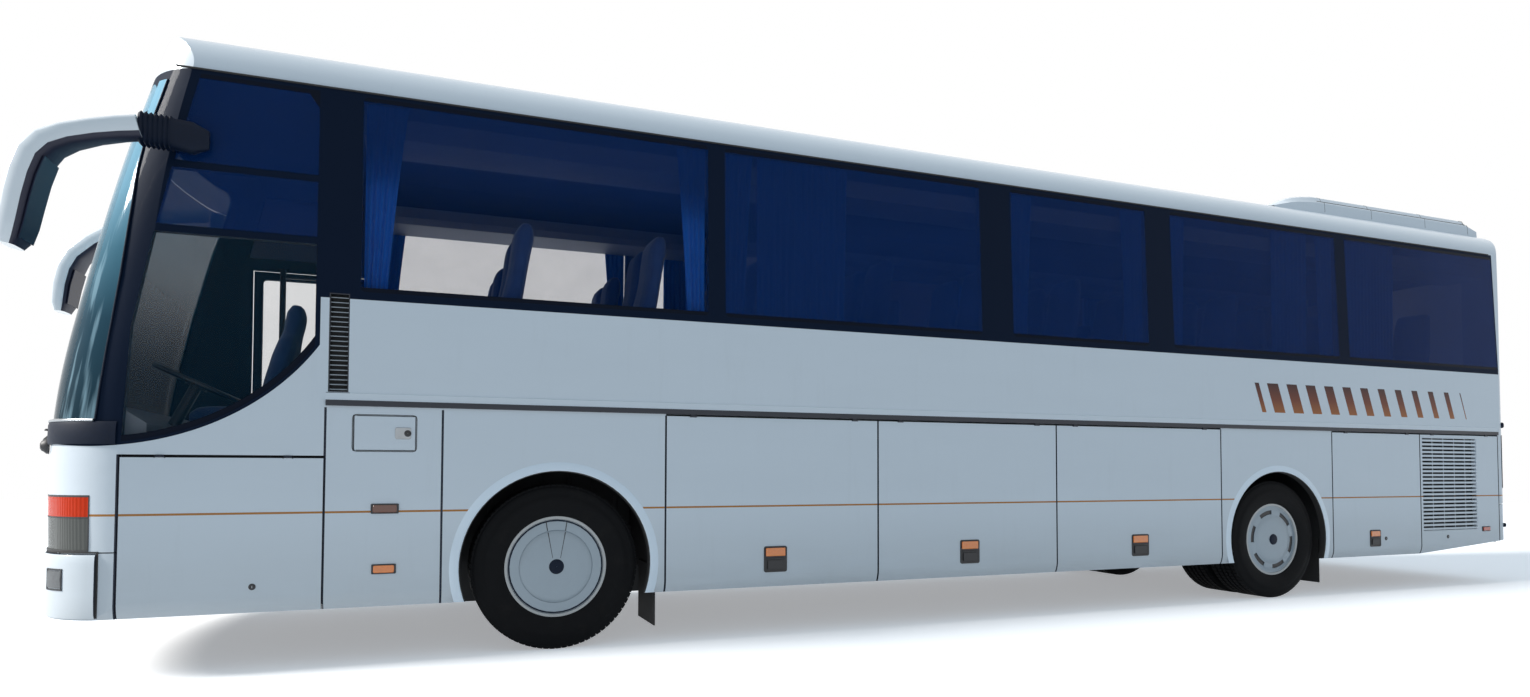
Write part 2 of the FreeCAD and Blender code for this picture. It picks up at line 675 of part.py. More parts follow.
low = dim["skirtHeight"] - 50
bumperLeft = box("bumperLeft", flapFront, nose + beyond, 0, far, low, bumperTop - dim["bumperGap"])
bumperRight = box("bumperRight", doorFront, nose + beyond, -far, 0, low,
                  bumperTop - dim["bumperGap"])
bumperBlank = common("bumperBlank", shell, fuse("bumperRegion", [bumperLeft, bumperRight]))
towY = dim["towOffset"]
towZ = dim["towHeight"]
towStart = nose - dim["towDepth"]
towBoss = cylinder("towBoss", "X", dim["towBoreRadius"] * 2, dim["towDepth"] - dim["towSink"],
                   towStart, towY, towZ)
towBore = cylinder("towBore", "X", dim["towBoreRadius"], dim["towDepth"] + 100, towStart - 20,
                   towY, towZ)
towMouth = cylinder("towMouth", "X", dim["towBoreRadius"] * 1.6, 200, nose - dim["towSink"],
                    towY, towZ)
frontBumper = cut("frontBumper", fuse("bumperBoss", [bumperBlank, towBoss]),
                  fogTools + [towBore, towMouth])

# Tail: fascia with the rear window, engine lid opening and lamp pockets, bumper below.

rearTop = dim["rearBumperTop"]
tailBlank = slab("tailBlank", shell, tail - beyond, tailPanel, -far, far, rearTop, seam)
rearHole = plate("rearWindowHole", "YZ", [
    (-dim["rearWindowHalf"], dim["rearWindowBottom"]),
    (dim["rearWindowHalf"], dim["rearWindowBottom"]),
    (dim["rearWindowHalf"], dim["rearWindowTop"]),
    (-dim["rearWindowHalf"], dim["rearWindowTop"])], tail - beyond, tail + wallReach,
    dim["windowRadius"])
lidHole = box("lidHole", tail - beyond, tail + wallReach, -dim["lidHalfWidth"], dim["lidHalfWidth"],
              dim["lidBottom"], dim["lidTop"])
tailTools = []
for sign, word in ((1, "Left"), (-1, "Right")):
    pair = (dim["tailLampInner"], far) if sign > 0 else (-far, -dim["tailLampInner"])
    tailTools.append(box("tailLampSpace" + word, tail - beyond, tail + dim["tailLampWidth"],
                         pair[0], pair[1], dim["tailLampBottom"], dim["tailLampTop"]))
lastWindows = [windowTools[-1], mirrored("lastWindowRight", windowTools[-1])]
tailOpen = cut("tailOpen", tailBlank, [rearHole, lidHole] + tailTools + lastWindows)
node(common("rearPane", skin, rearHole), "rear_window")
rearBumperBlank = slab("rearBumperBlank", shell, tail - beyond, tailPanel, -far, far, low,
                       rearTop - dim["bumperGap"])
plateLow = dim["plateMiddle"] - dim["plateHeight"] / 2
plateSpace = box("plateSpace", tail - beyond, tail + dim["plateRecess"], -dim["plateLength"] / 2,
                 dim["plateLength"] / 2, plateLow, plateLow + dim["plateHeight"])
rearBumper = cut("rearBumper", rearBumperBlank, [plateSpace])
node(group("bumperPair", [frontBumper, rearBumper]), "bumpers")

lampBlocks = [common(f"lampBlock{i}", shell, tool)
              for i, tool in enumerate(lampTools + fogTools + tailTools, start=1)]
node(group("lampSet", lampBlocks), "lamps")

# Lower side panels that stay shut, with the wheel arches.

archHeight = dim["archHeight"]
archTools = [cylinder(word, "Y", dim["archRadius"], 2 * far, axle, -far, archHeight)
             for word, axle in (("frontArch", frontAxle), ("rearArch", rearAxle))]
fuelFront = flapRear - dim["fuelDoorRear"]
fuelRear = fuelFront - dim["fuelDoorLength"]
fuelPocket = box("fuelPocket", fuelRear, fuelFront, halfWidth - 34, far,
                 dim["fuelDoorBottom"], dim["fuelDoorTop"])
frontPanel = slab("frontPanel", shell, bayStart, flapRear, y0, y1, low, rail)
rearWheelPanel = slab("rearWheelPanel", shell, rearPanel, bayEnd, y0, y1, low, rail)
frontArched = cut("frontArched", frontPanel, [archTools[0]])
rearArched = cut("rearArched", rearWheelPanel, [archTools[1]])
pinInset = dim["fuelPinInset"]
fuelPinY = halfWidth - dim["fuelDoorThickness"] / 2
fuelPin = cylinder("fuelPin", "Z", dim["fuelPinRadius"],
                   dim["fuelDoorTop"] - dim["fuelDoorBottom"], fuelFront - pinInset, fuelPinY,
                   dim["fuelDoorBottom"])
frontFuel = fuse("frontFuel", [cut("frontPocketed", frontArched, [fuelPocket]), fuelPin])
node(group("lowerLeft", [frontFuel, rearArched]), "lower_panels_left")
frontRight = cut("frontRight", mirrored("frontArchedRight", frontArched), [doorHole])
node(group("lowerRight", [frontRight, mirrored("rearArchedRight", rearArched)]),
     "lower_panels_right")

# Fuel filler door on its upright pin.

fuelBlank = box("fuelBlank", fuelRear + dim["runGap"], fuelFront - pinInset + 6,
                halfWidth - dim["fuelDoorThickness"], halfWidth,
                dim["fuelDoorBottom"] + dim["runGap"], dim["fuelDoorTop"] - dim["runGap"])
fuelBore = cylinder("fuelBore", "Z", dim["fuelPinRadius"] + dim["seatGap"],
                    dim["fuelDoorTop"] - dim["fuelDoorBottom"], fuelFront - pinInset, fuelPinY,
                    dim["fuelDoorBottom"])
node(cut("fuelFlap", fuelBlank, [fuelBore]), "fuel_flap")

# Top-hung flaps: each swings on two short pins under the drip rail.

hingeDrop = dim["hingeDrop"]
pinRadius = dim["hingePinRadius"]
pinLength = dim["hingePinLength"]


def hinge_parts(name, x0, x1, y, z):
    """Two lugs with pins at a flap's top edge, and the notches that clear them."""
    lugs = []
    notches = []
    for end, x in (("Front", x1 - dim["hingeInset"]), ("Rear", x0 + dim["hingeInset"])):
        start = x - pinLength / 2
        lugs.append(cylinder(f"{name}Pin{end}", "X", pinRadius, pinLength, start, y, z))
        lugs.append(box(f"{name}Lug{end}", start, start + pinLength, y - 5, y + 5, z,
                        z + hingeDrop))
        notches.append(cylinder(f"{name}Notch{end}", "X", pinRadius + dim["seatGap"],
                                pinLength + 12, start - 6, y, z))
    return lugs, notches


def top_flap(name, x0, x1, top, bottom=None):
    """A flap cut from the left wall, with its notches, and its hinge lugs."""
    bottom = dim["skirtHeight"] - 50 if bottom is None else bottom
    hinge = top - hingeDrop
    blank = slab(name + "Blank", shell, x0 + half, x1 - half, y0, y1, bottom, hinge - 2)
    lugs, notches = hinge_parts(name, x0, x1, halfWidth, hinge)
    return cut(name + "Flap", blank, notches), lugs


railLugs = []
flapSpans = [("luggageOne", "luggage_flap_{}_1", baySecond, bayStart),
             ("luggageTwo", "luggage_flap_{}_2", bayThird, baySecond),
             ("luggageThree", "luggage_flap_{}_3", bayEnd, bayThird),
             ("cooler", "cooler_flap_{}", engineFlap, rearPanel)]
for name, label, x0, x1 in flapSpans:
    flap, lugs = top_flap(name, x0, x1, rail)
    railLugs += lugs
    node(flap, label.format("left"))
    node(mirrored(name + "Right", flap), label.format("right"))

# Engine flap with its louvred grille: one slat, repeated up the opening.


def louvre(name, x0, x1, bottom, top, count, y):
    """A stack of slats that lean outwards, one drawn and the rest patterned."""
    depth = dim["slatDepth"]
    height = dim["slatHeight"]
    pitch = (top - bottom) / count
    first = bottom + pitch / 2
    body = doc.addObject("PartDesign::Body", name)
    outline = [(y - depth, first), (y, first - height / 2), (y, first + 4 - height / 2),
               (y - depth, first + 4)]
    sketch = outline_sketch(body, "YZ", outline, name + "Outline")
    pad = body.newObject("PartDesign::Pad", name + "Pad")
    pad.Profile = sketch
    bind(pad, "Length", x1 - as_size(x0))
    pattern = body.newObject("PartDesign::LinearPattern", name + "Stack")
    pattern.Originals = [pad]
    pattern.Direction = (sketch, ["V_Axis"])
    bind(pattern, "Length", (count - 1) * pitch)
    bind(pattern, "Occurrences", count)
    body.Tip = pattern
    place(body, x0, 0, 0)
    return body


engineBlankFlap, engineLugs = top_flap("engineSide", tailPanel, engineFlap, rail)
railLugs += engineLugs
grilleFront = engineFlap - dim["grilleInset"]
grilleRear = grilleFront - dim["grilleLength"]
grilleHole = box("grilleHole", grilleRear, grilleFront, y0, y1, dim["grilleBottom"],
                 dim["grilleTop"])
slats = louvre("engineSlats", grilleRear - 3, grilleFront + 3, dim["grilleBottom"],
               dim["grilleTop"], dim["slatCount"], halfWidth - 6)
engineSide = fuse("engineSideGrille", [cut("engineSideOpen", engineBlankFlap, [grilleHole]),
                                       slats])
node(engineSide, "engine_flap_left")
node(mirrored("engineSideRight", engineSide), "engine_flap_right")

# Service flap ahead of the driver's wheel, hung from the cab frame.

serviceFlap, serviceLugs = top_flap("service", flapRear, flapFront, flapTop)
node(serviceFlap, "service_flap")

# Drip rails with the hinge lugs, and the upright vent behind the driver's window.

railBar = plate("railBar", "YZ", [
    (halfWidth, rail), (halfWidth + dim["railProud"], rail),
    (halfWidth + dim["railProud"], rail + dim["railThickness"]),
    (halfWidth + dim["mouldProud"], rail + dim["railThickness"] + 6),
    (halfWidth + dim["mouldProud"], rail + dim["railThickness"] + dim["mouldThickness"]),
    (halfWidth, rail + dim["railThickness"] + dim["mouldThickness"] + 4)],
    tailPanel, flapRear)
leftRail = fuse("leftRail", [railBar] + railLugs)
rightRail = cut("rightRail", mirrored("rightRailBlank", leftRail), [doorHole])
ventSlats = louvre("ventSlats", ventRear + 3, ventFront - 3, dim["ventBottom"] + 6,
                   dim["ventTop"] - 6, dim["ventCount"], halfWidth - 10)
ventFrame = cut("ventFrame", box("ventBlock", ventRear, ventFront, innerWall, halfWidth - 2,
                                 dim["ventBottom"], dim["ventTop"]),
                [box("ventInside", ventRear + 6, ventFront - 6, innerWall - 10, far,
                     dim["ventBottom"] + 6, dim["ventTop"] - 6)])
node(group("trimSet", [leftRail, rightRail, fuse("ventGrille", [ventFrame, ventSlats])]),
     "side_trim")

# Engine lid in the tail, hung on two pins.

lidHinge = dim["lidTop"] - hingeDrop
lidBlank = slab("lidBlank", shell, tail - beyond, tail + wallReach, half - dim["lidHalfWidth"],
                dim["lidHalfWidth"] - half, dim["lidBottom"] + gap, lidHinge - 2)
lidLugs = []
lidNotches = []
for sign, word in ((1, "Left"), (-1, "Right")):
    y = sign * (dim["lidHalfWidth"] - dim["hingeInset"]) - pinLength / 2
    lidLugs.append(cylinder("lidPin" + word, "Y", pinRadius, pinLength, tail, y, lidHinge))
    lidLugs.append(box("lidLug" + word, tail - 5, tail + 5, y, y + pinLength, lidHinge,
                       lidHinge + hingeDrop))
    lidNotches.append(cylinder("lidNotch" + word, "Y", pinRadius + dim["seatGap"],
                               pinLength + 12, tail, y - 6, lidHinge))
node(cut("engineLid", lidBlank, lidNotches), "engine_lid")
node(fuse("tailFascia", [tailOpen] + lidLugs), "rear_fascia")

# Floors, steps, bulkheads, wheelhouses and rails.

deck = dim["deckHeight"]
deckFloor = dim["deckThickness"]
aisle = dim["aisleHeight"]
aisleHalf = dim["aisleHalf"]
deckFront = frontAxle + dim["wheelhouseHalf"]
deckRear = tail + wall
deckHalf = innerWall
deckProfile = [
    (-deckHalf, deck - deckFloor), (-aisleHalf - deckFloor, deck - deckFloor),
    (-aisleHalf - deckFloor, aisle - deckFloor), (aisleHalf + deckFloor, aisle - deckFloor),
    (aisleHalf + deckFloor, deck - deckFloor), (deckHalf, deck - deckFloor), (deckHalf, deck),
    (aisleHalf, deck), (aisleHalf, aisle), (-aisleHalf, aisle), (-aisleHalf, deck),
    (-deckHalf, deck)]
deckBlank = plate("deckBlank", "YZ", deckProfile, deckRear, deckFront)
node(common("deckFloorPiece", deckBlank, inner), "deck_floor")

platform = dim["platformHeight"]
platformFront = nose - dim["platformFront"]
stairInner = -(innerWall - dim["stairDepth"])
platformPlate = box("platformPlate", deckFront, platformFront, stairInner, innerWall,
                    platform - deckFloor, platform)
riser = box("riser", deckFront, deckFront + dim["riserThickness"], -innerWall, innerWall,
            platform, deck)
riserGap = box("riserGap", deckFront - 50, deckFront + 50, -aisleHalf, aisleHalf, platform, deck)
aisleSteps = box("aisleSteps", deckFront, deckFront + 300, -aisleHalf, aisleHalf, platform,
                 (platform + aisle) / 2)
count = dim["stepCount"]
rise = (platform - doorBottom - dim["treadThickness"]) / count
run = dim["stairDepth"] / count
tread = dim["treadThickness"]
stairSide = stairInner + dim["stairSideThickness"]
upper = []
lower = []
for i in range(int(count.value)):
    z = doorBottom + tread + i * rise
    treadStart = dim["flapClear"] - innerWall + i * run
    upper += [(treadStart, z), (treadStart + run, z)]
    lowerStart = treadStart + tread if i else treadStart
    lowerEnd = stairSide if i == int(count.value) - 1 else treadStart + run + tread
    lower += [(lowerStart, z - tread), (lowerEnd, z - tread)]
stepOutline = upper + lower[::-1]
stairs = plate("stairs", "YZ", stepOutline, doorRear + doorGap, doorFront - doorGap)
stairSides = [box("stairRear", deckFront, doorRear, -innerWall, stairInner,
                  platform - deckFloor, platform),
              box("stairFront", doorFront, platformFront, -innerWall, stairInner,
                  platform - deckFloor, platform)]
stairInside = box("stairInside", doorRear, doorFront, stairInner, stairSide, doorBottom,
                  platform)
cabFloor = fuse("cabFloor", [platformPlate, cut("riserOpen", riser, [riserGap]), aisleSteps,
                             stairs, stairInside] + stairSides)
node(cabFloor, "cab_floor")

bayFloor = dim["bayFloorHeight"]
bayUnder = bayFloor - dim["bayFloorThickness"]
bulk = dim["bulkheadThickness"]
flapClear = innerWall - dim["flapClear"]
underside = deck - deckFloor
frameParts = [
    box("bayFloorPlate", bayEnd - bulk, bayStart + bulk, -flapClear, flapClear, bayUnder,
        bayFloor),
]
aisleUnder = box("aisleUnder", tail, nose, -aisleHalf - deckFloor, aisleHalf + deckFloor,
                 aisle - deckFloor, sky)
bulkheads = []
for word, x in (("bayFrontBulkhead", bayStart), ("bayRearBulkhead", bayEnd - bulk)):
    bulkheads.append(box(word, x, x + bulk, -innerWall, innerWall, bayUnder, underside))
bulkheads.append(box("engineBulkhead", rearPanel, rearPanel + bulk, -innerWall, innerWall,
                     dim["wheelhouseTop"], underside))
frameParts.append(cut("bulkheadSet", group("bulkheadBlocks", bulkheads), [aisleUnder]))
house = dim["wheelhouseHalf"]
houseTop = dim["wheelhouseTop"]
sheet10 = dim["houseSheet"]
for word, axle in (("front", frontAxle), ("rear", rearAxle)):
    frameParts.append(box(word + "HouseTop", axle - house, axle + house, -innerWall, innerWall,
                          houseTop, houseTop + sheet10))
frameParts.append(box("frontHouseFront", deckFront - sheet10, deckFront, -innerWall, innerWall,
                      bayUnder, houseTop))
frameParts.append(box("frontHouseRear", bayStart + bulk, frontAxle - house + sheet10,
                      -innerWall, innerWall, houseTop - 100, houseTop + sheet10))
frameParts.append(box("rearHouseFront", rearAxle + house - sheet10, bayEnd - bulk, -innerWall,
                      innerWall, houseTop - 100, houseTop + sheet10))
frameParts.append(box("rearHouseRear", rearPanel + 5, rearAxle - house + sheet10, -innerWall,
                      innerWall, bayUnder, houseTop + sheet10))
for sign, word in ((1, "Left"), (-1, "Right")):
    offset = sign * dim["railBeamOffset"] - dim["railBeamWidth"] / 2
    beamBottom = dim["railBeamBottom"]
    beamTop = beamBottom + dim["railBeamHeight"]
    frontBeam = box("frontBeam" + word, bayStart, nose, offset,
                    offset + dim["railBeamWidth"], beamBottom, beamTop)
    frameParts.append(common("frontBeamEnd" + word, frontBeam, inner))
    frameParts.append(box("frontPost" + word, deckFront - 40, deckFront + 200, offset,
                          offset + dim["railBeamWidth"], beamTop, platform - deckFloor))
    frameParts.append(box("rearBeam" + word, tail + wall, bayEnd, offset,
                          offset + dim["railBeamWidth"], beamBottom, beamTop))
    frameParts.append(box("rearPost" + word, rearPanel - 100, rearPanel + 100, offset,
                          offset + dim["railBeamWidth"], beamTop, houseTop))
    frameParts.append(box("frontLeg" + word, platformFront - 60, platformFront, offset,
                          offset + dim["railBeamWidth"], beamTop, platform - deckFloor))
frameWhole = fuse("frameWhole", frameParts)
node(frameWhole, "underframe")

# Engine over the rear overhang, between the rails.

engineRear = tail + dim["engineBack"]
engineHalf = dim["engineHalfWidth"]
engineParts = [box("engineBlock", engineRear, engineRear + dim["engineLength"], -engineHalf,
                   engineHalf, dim["engineBottom"], dim["engineTop"])]
footFace = dim["railBeamOffset"] - dim["railBeamWidth"] / 2
footBottom = dim["railBeamBottom"] + dim["railBeamHeight"] / 2 - dim["engineFootHeight"] / 2
for word, x in (("Rear", engineRear + dim["engineFootInset"]),
                ("Front", engineRear + dim["engineLength"] - dim["engineFootInset"]
                 - dim["engineFootLength"])):
    engineParts.append(box("engineFeet" + word, x, x + dim["engineFootLength"], -footFace,
                           footFace, footBottom, footBottom + dim["engineFootHeight"]))
node(fuse("engineOnFeet", engineParts), "engine_block")

# Axles with their air springs.

hub = dim["hubHeight"]
kingpinY = dim["trackOuter"] - dim["kingpinOffset"]
beamWidth = dim["beamWidth"]
eyeLow = hub - dim["eyeHalf"]
eyeHigh = hub + dim["eyeHalf"]
earThickness = dim["earThickness"]
runGap = dim["runGap"]
earEnd = kingpinY + dim["earRadius"]
frontAxleParts = [box("frontBeamBar", frontAxle - beamWidth / 2, frontAxle + beamWidth / 2,
                      -earEnd, earEnd, eyeLow - runGap - earThickness - 40, eyeLow - runGap)]
for sign, word in ((1, "Left"), (-1, "Right")):
    webIn = kingpinY - dim["earRadius"] - runGap - 60
    webPair = (webIn, webIn + 60) if sign > 0 else (-webIn - 60, -webIn)
    frontAxleParts.append(box("axleWeb" + word, frontAxle - beamWidth / 2,
                              frontAxle + beamWidth / 2, webPair[0], webPair[1],
                              eyeLow - runGap - 20, eyeHigh + runGap + earThickness))
    earPair = (webIn, earEnd) if sign > 0 else (-earEnd, -webIn)
    frontAxleParts.append(box("axleEar" + word, frontAxle - beamWidth / 2,
                              frontAxle + beamWidth / 2, earPair[0], earPair[1],
                              eyeHigh + runGap, eyeHigh + runGap + earThickness))
    frontAxleParts.append(cylinder("frontSpring" + word, "Z", dim["springRadius"],
                                   dim["railBeamBottom"] - (eyeLow - runGap), frontAxle,
                                   sign * dim["railBeamOffset"], eyeLow - runGap))
kingBores = [cylinder("kingBore" + word, "Z", dim["kingpinRadius"] + dim["seatGap"], 600,
                      frontAxle, sign * kingpinY, hub - 300)
             for sign, word in ((1, "Left"), (-1, "Right"))]
frontAxlePiece = cut("frontAxlePiece", fuse("frontAxleBlank", frontAxleParts), kingBores)

discY = dim["trackOuter"] - dim["tyreWidth"] / 2
twinInnerY = discY - dim["tyreWidth"] - dim["twinGap"]
tubeEnd = twinInnerY - dim["tyreWidth"] / 2 + 40
rearAxleParts = [cylinder("rearTube", "Y", dim["axleTubeRadius"], 2 * tubeEnd, rearAxle,
                          -tubeEnd, hub),
                 cylinder("diffCase", "Y", dim["diffRadius"], 360, rearAxle, -180, hub)]
for sign, word in ((1, "Left"), (-1, "Right")):
    rearAxleParts.append(cylinder("rearSpring" + word, "Z", dim["springRadius"],
                                  dim["railBeamBottom"] - hub, rearAxle,
                                  sign * dim["railBeamOffset"], hub))
    shaftEnd = discY + dim["spindleLength"] / 2
    shaftStart = tubeEnd - 20 if sign > 0 else -shaftEnd
    rearAxleParts.append(cylinder("rearSpindle" + word, "Y", dim["spindleRadius"],
                                  shaftEnd - tubeEnd + 20, rearAxle, shaftStart, hub))
rearAxlePiece = fuse("rearAxlePiece", rearAxleParts)
node(group("axleSet", [frontAxlePiece, rearAxlePiece]), "axles")

# Steering knuckles on their kingpins.


def knuckle(sign, word):
    boss = cylinder("knuckleBoss" + word, "Z", dim["earRadius"] - 4, 2 * dim["eyeHalf"],
                    frontAxle, sign * kingpinY, eyeLow)
    pin = cylinder("kingpin" + word, "Z", dim["kingpinRadius"],
                   2 * (dim["eyeHalf"] + runGap + earThickness), frontAxle, sign * kingpinY,
                   eyeLow - runGap - earThickness)
    stubEnd = discY - dim["discThickness"] - runGap
    stubStart = kingpinY if sign > 0 else -stubEnd
    stub = cylinder("stub" + word, "Y", dim["stubRadius"], stubEnd - kingpinY, frontAxle,
                    stubStart, hub)
    spindleStart = stubEnd if sign > 0 else -stubEnd - dim["spindleLength"]
    spindle = cylinder("spindle" + word, "Y", dim["spindleRadius"], dim["spindleLength"],
                       frontAxle, spindleStart, hub)
    return fuse("knuckle" + word, [boss, pin, stub, spindle])


node(knuckle(1, "Left"), "knuckle_left")
node(knuckle(-1, "Right"), "knuckle_right")

# Wheels: a tyre turned from its section, and the disc and rim turned as one.

tyreHalf = dim["tyreWidth"] / 2
shoulder = dim["tyreShoulder"]
rim = dim["rimRadius"]


def tyre(name, x, y):
    section = [(rim, y - tyreHalf + 30), (hub - 90, y - tyreHalf), (hub - shoulder, y - tyreHalf + 6),
               (hub, y - tyreHalf + shoulder), (hub, y + tyreHalf - shoulder),
               (hub - shoulder, y + tyreHalf - 6), (hub - 90, y + tyreHalf),
               (rim, y + tyreHalf - 30)]
    return ring(name, section, x, hub)


def rim_section(y, outward, hubIn, hubOut, bore):
    """A disc at y with the rim well round it and a domed hub towards the outside."""
    t = dim["discThickness"] / 2
    w = dim["rimWall"]
    edge = tyreHalf - 30
    hubR = dim["hubRadius"]
    if outward > 0:
        return [(bore, y - hubIn), (hubR, y - hubIn), (hubR, y - t), (rim - w, y - t),
                (rim - w, y - edge), (rim, y - edge), (rim, y + edge), (rim - w, y + edge),
                (rim - w, y + t), (hubR + 20, y + t), (hubR, y + hubOut), (bore, y + hubOut)]
    return [(bore, y + hubIn), (hubR, y + hubIn), (hubR, y + t), (rim - w, y + t),
            (rim - w, y + edge), (rim, y + edge), (rim, y - edge), (rim - w, y - edge),
            (rim - w, y - t), (hubR + 20, y - t), (hubR, y - hubOut), (bore, y - hubOut)]


spindleBore = dim["spindleRadius"] + dim["seatGap"]
hubOut = dim["hubProud"]
for sign, word, label in ((1, "Left", "left"), (-1, "Right", "right")):
    y = sign * discY
    node(tyre("frontTyre" + word, frontAxle, y), f"front_tyre_{label}")
    node(ring("frontRim" + word, rim_section(y, sign, dim["discThickness"], hubOut,
                                             spindleBore), frontAxle, hub),
         f"front_wheel_{label}")
    innerY = sign * twinInnerY
    pair = [tyre("rearTyreOuter" + word, rearAxle, y), tyre("rearTyreInner" + word, rearAxle,
                                                           innerY)]
    node(group("rearTyres" + word, pair), f"rear_tyres_{label}")
    outerRim = ring("rearRim" + word, rim_section(y, sign, dim["tyreWidth"] / 2 + 10, 20,
                                                  spindleBore), rearAxle, hub)
    innerRim = ring("rearRimInner" + word, rim_section(innerY, sign, dim["discThickness"],
                                                       dim["tyreWidth"] / 2 + dim["twinGap"] + 10,
                                                       spindleBore), rearAxle, hub)
    node(fuse("rearWheels" + word, [outerRim, innerRim]), f"rear_wheels_{label}")

# Door leaf, its glass and the arm on an upright post.

pivotX = doorFront - dim["doorPivotInset"]
pivotY = dim["doorPostOffset"] - innerWall
armEndX = pivotX - dim["doorArm"]
armHalf = dim["doorArmWidth"] / 2
armHeight = dim["doorArmHeight"]
lugHeight = dim["doorLugHeight"]
postBottom = doorBottom + tread + dim["seatGap"]
postTop = doorTop + 10
armParts = [cylinder("doorPost", "Z", dim["doorPostRadius"], postTop - postBottom, pivotX, pivotY,
                     postBottom)]
leafLugs = []
leafBores = []
for word in ("Low", "High"):
    z = dim[f"door{word}Arm"]
    armParts.append(box("doorArm" + word, armEndX - armHalf, pivotX, pivotY - armHalf,
                        pivotY + armHalf, z, z + armHeight))
    armParts.append(cylinder("doorPin" + word, "Z", dim["doorPinRadius"], armHeight + lugHeight,
                             armEndX, pivotY, z))
    leafLugs.append(box("doorLug" + word, armEndX - 25, armEndX + 25, -innerWall - 8,
                        pivotY + 22, z + armHeight + dim["seatGap"],
                        z + armHeight + lugHeight))
    leafBores.append(cylinder("doorBore" + word, "Z", dim["doorPinRadius"] + dim["seatGap"],
                              armHeight + 2 * lugHeight, armEndX, pivotY, z))
node(fuse("doorArmPiece", armParts), "front_door_arm")
node(cut("doorLeaf", fuse("doorLeafBlank", [leafOpen] + leafLugs), leafBores), "front_door")
node(doorPane, "front_door_glass")
bracket = box("doorBracket", pivotX - 40, pivotX + 40, -innerWall - 8, pivotY + 40,
              postTop + dim["seatGap"], postTop + 40)
cabWhole = fuse("cabWhole", [cabFrame, bracket] + serviceLugs)
node(cabWhole, "cab_frame")

# Mirrors: a folded boot on each pillar carries a curved housing that hangs forward of it.


def bent_tube(points, radius, bend):
    """A round tube along straight runs that are joined by tangent arcs."""
    path = []
    start = FreeCAD.Vector(*points[0])
    for before, corner, after in zip(points, points[1:], points[2:]):
        b, c, a = (FreeCAD.Vector(*p) for p in (before, corner, after))
        inward = (b - c).normalize()
        outward = (a - c).normalize()
        halfAngle = inward.getAngle(outward) / 2
        reach = bend / math.tan(halfAngle)
        middle = (inward + outward).normalize()
        centre = c + middle * (bend / math.sin(halfAngle))
        first = c + inward * reach
        last = c + outward * reach
        path.append(Part.LineSegment(start, first).toShape())
        path.append(Part.Arc(first, centre - middle * bend, last).toShape())
        start = last
    path.append(Part.LineSegment(start, FreeCAD.Vector(*points[-1])).toShape())
    wire = Part.Wire(path)
    direction = FreeCAD.Vector(*points[1]) - FreeCAD.Vector(*points[0])
    ring_edge = Part.makeCircle(radius, FreeCAD.Vector(*points[0]), direction)
    return wire.makePipeShell([Part.Wire([ring_edge])], True, False)


# Stations along each housing: setback from the nose, height, thickness across the line, and
# where the housing starts and ends outside the body's side.
mirrorLines = {
    "Left": [(585, 2822, 120, 85, 205), (505, 2800, 118, 95, 225), (405, 2766, 114, 100, 250),
             (305, 2722, 116, 100, 280), (230, 2672, 124, 95, 305), (180, 2600, 130, 90, 322),
             (152, 2500, 128, 88, 330), (132, 2390, 124, 88, 332), (115, 2270, 116, 92, 330),
             (103, 2190, 100, 100, 322), (97, 2155, 66, 125, 300)],
    "Right": [(415, 3035, 100, -90, 0), (215, 3015, 100, -80, 20), (0, 2955, 105, -70, 60),
              (-185, 2870, 115, -60, 120), (-325, 2770, 125, -50, 180),
              (-430, 2665, 130, -50, 215), (-480, 2560, 130, -50, 240),
              (-503, 2440, 125, -50, 240), (-515, 2300, 110, -40, 230),
              (-519, 2245, 70, -10, 200)],
}
housingCorner = 0.28            # the corners' share of the thickness


def mirror_housing(sign, stations):
    """Eight-cornered sections, square to a bowed line, joined by one smooth loft."""
    spots = [FreeCAD.Vector(nose.value - setback, 0, height) for setback, height, *_ in stations]
    sections = []
    for i, (_, _, thick, start, end) in enumerate(stations):
        along = spots[min(i + 1, len(spots) - 1)] - spots[max(i - 1, 0)]
        along.normalize()
        up = FreeCAD.Vector(-along.z, 0, along.x)
        corner = housingCorner * thick
        a, b = halfWidth.value + start, halfWidth.value + end
        t = thick / 2
        outline = [(a + corner, -t), (b - corner, -t), (b, corner - t), (b, t - corner),
                   (b - corner, t), (a + corner, t), (a, t - corner), (a, corner - t)]
        corners = [spots[i] + up * rise + FreeCAD.Vector(0, sign * out, 0) for out, rise in outline]
        sections.append(Part.makePolygon(corners + [corners[0]]))
    return Part.makeLoft(sections, True, False)


mirrorSides = []
bootReaches = {"Left": (innerWall - wallReach, halfWidth + dim["bootLeftOut"]),
               "Right": (-halfWidth, wallReach - innerWall)}
for sign, word in ((1, "Left"), (-1, "Right")):
    reach = bootReaches[word]
    boot = plate("mirrorBoot" + word, "XZ", rectangle(
        nose - dim[f"boot{word}Rear"], nose - dim[f"boot{word}Front"],
        dim[f"boot{word}Bottom"], dim[f"boot{word}Top"]), reach[0], reach[1], dim["bootRadius"])
    housing = made("mirrorHousing" + word, mirror_housing(sign, mirrorLines[word]))
    mirrorSides.append(cut("mirror" + word, fuse("mirrorBlank" + word, [boot, housing]), [outer]))
node(group("mirrorSet", mirrorSides), "mirrors")

# Wipers parked low on the windscreen.


def nose_at(y, z):
    bulge = dim["noseBulgeRadius"].value
    return nose.value - rake_setback(z) - (bulge - math.sqrt(bulge ** 2 - y ** 2))


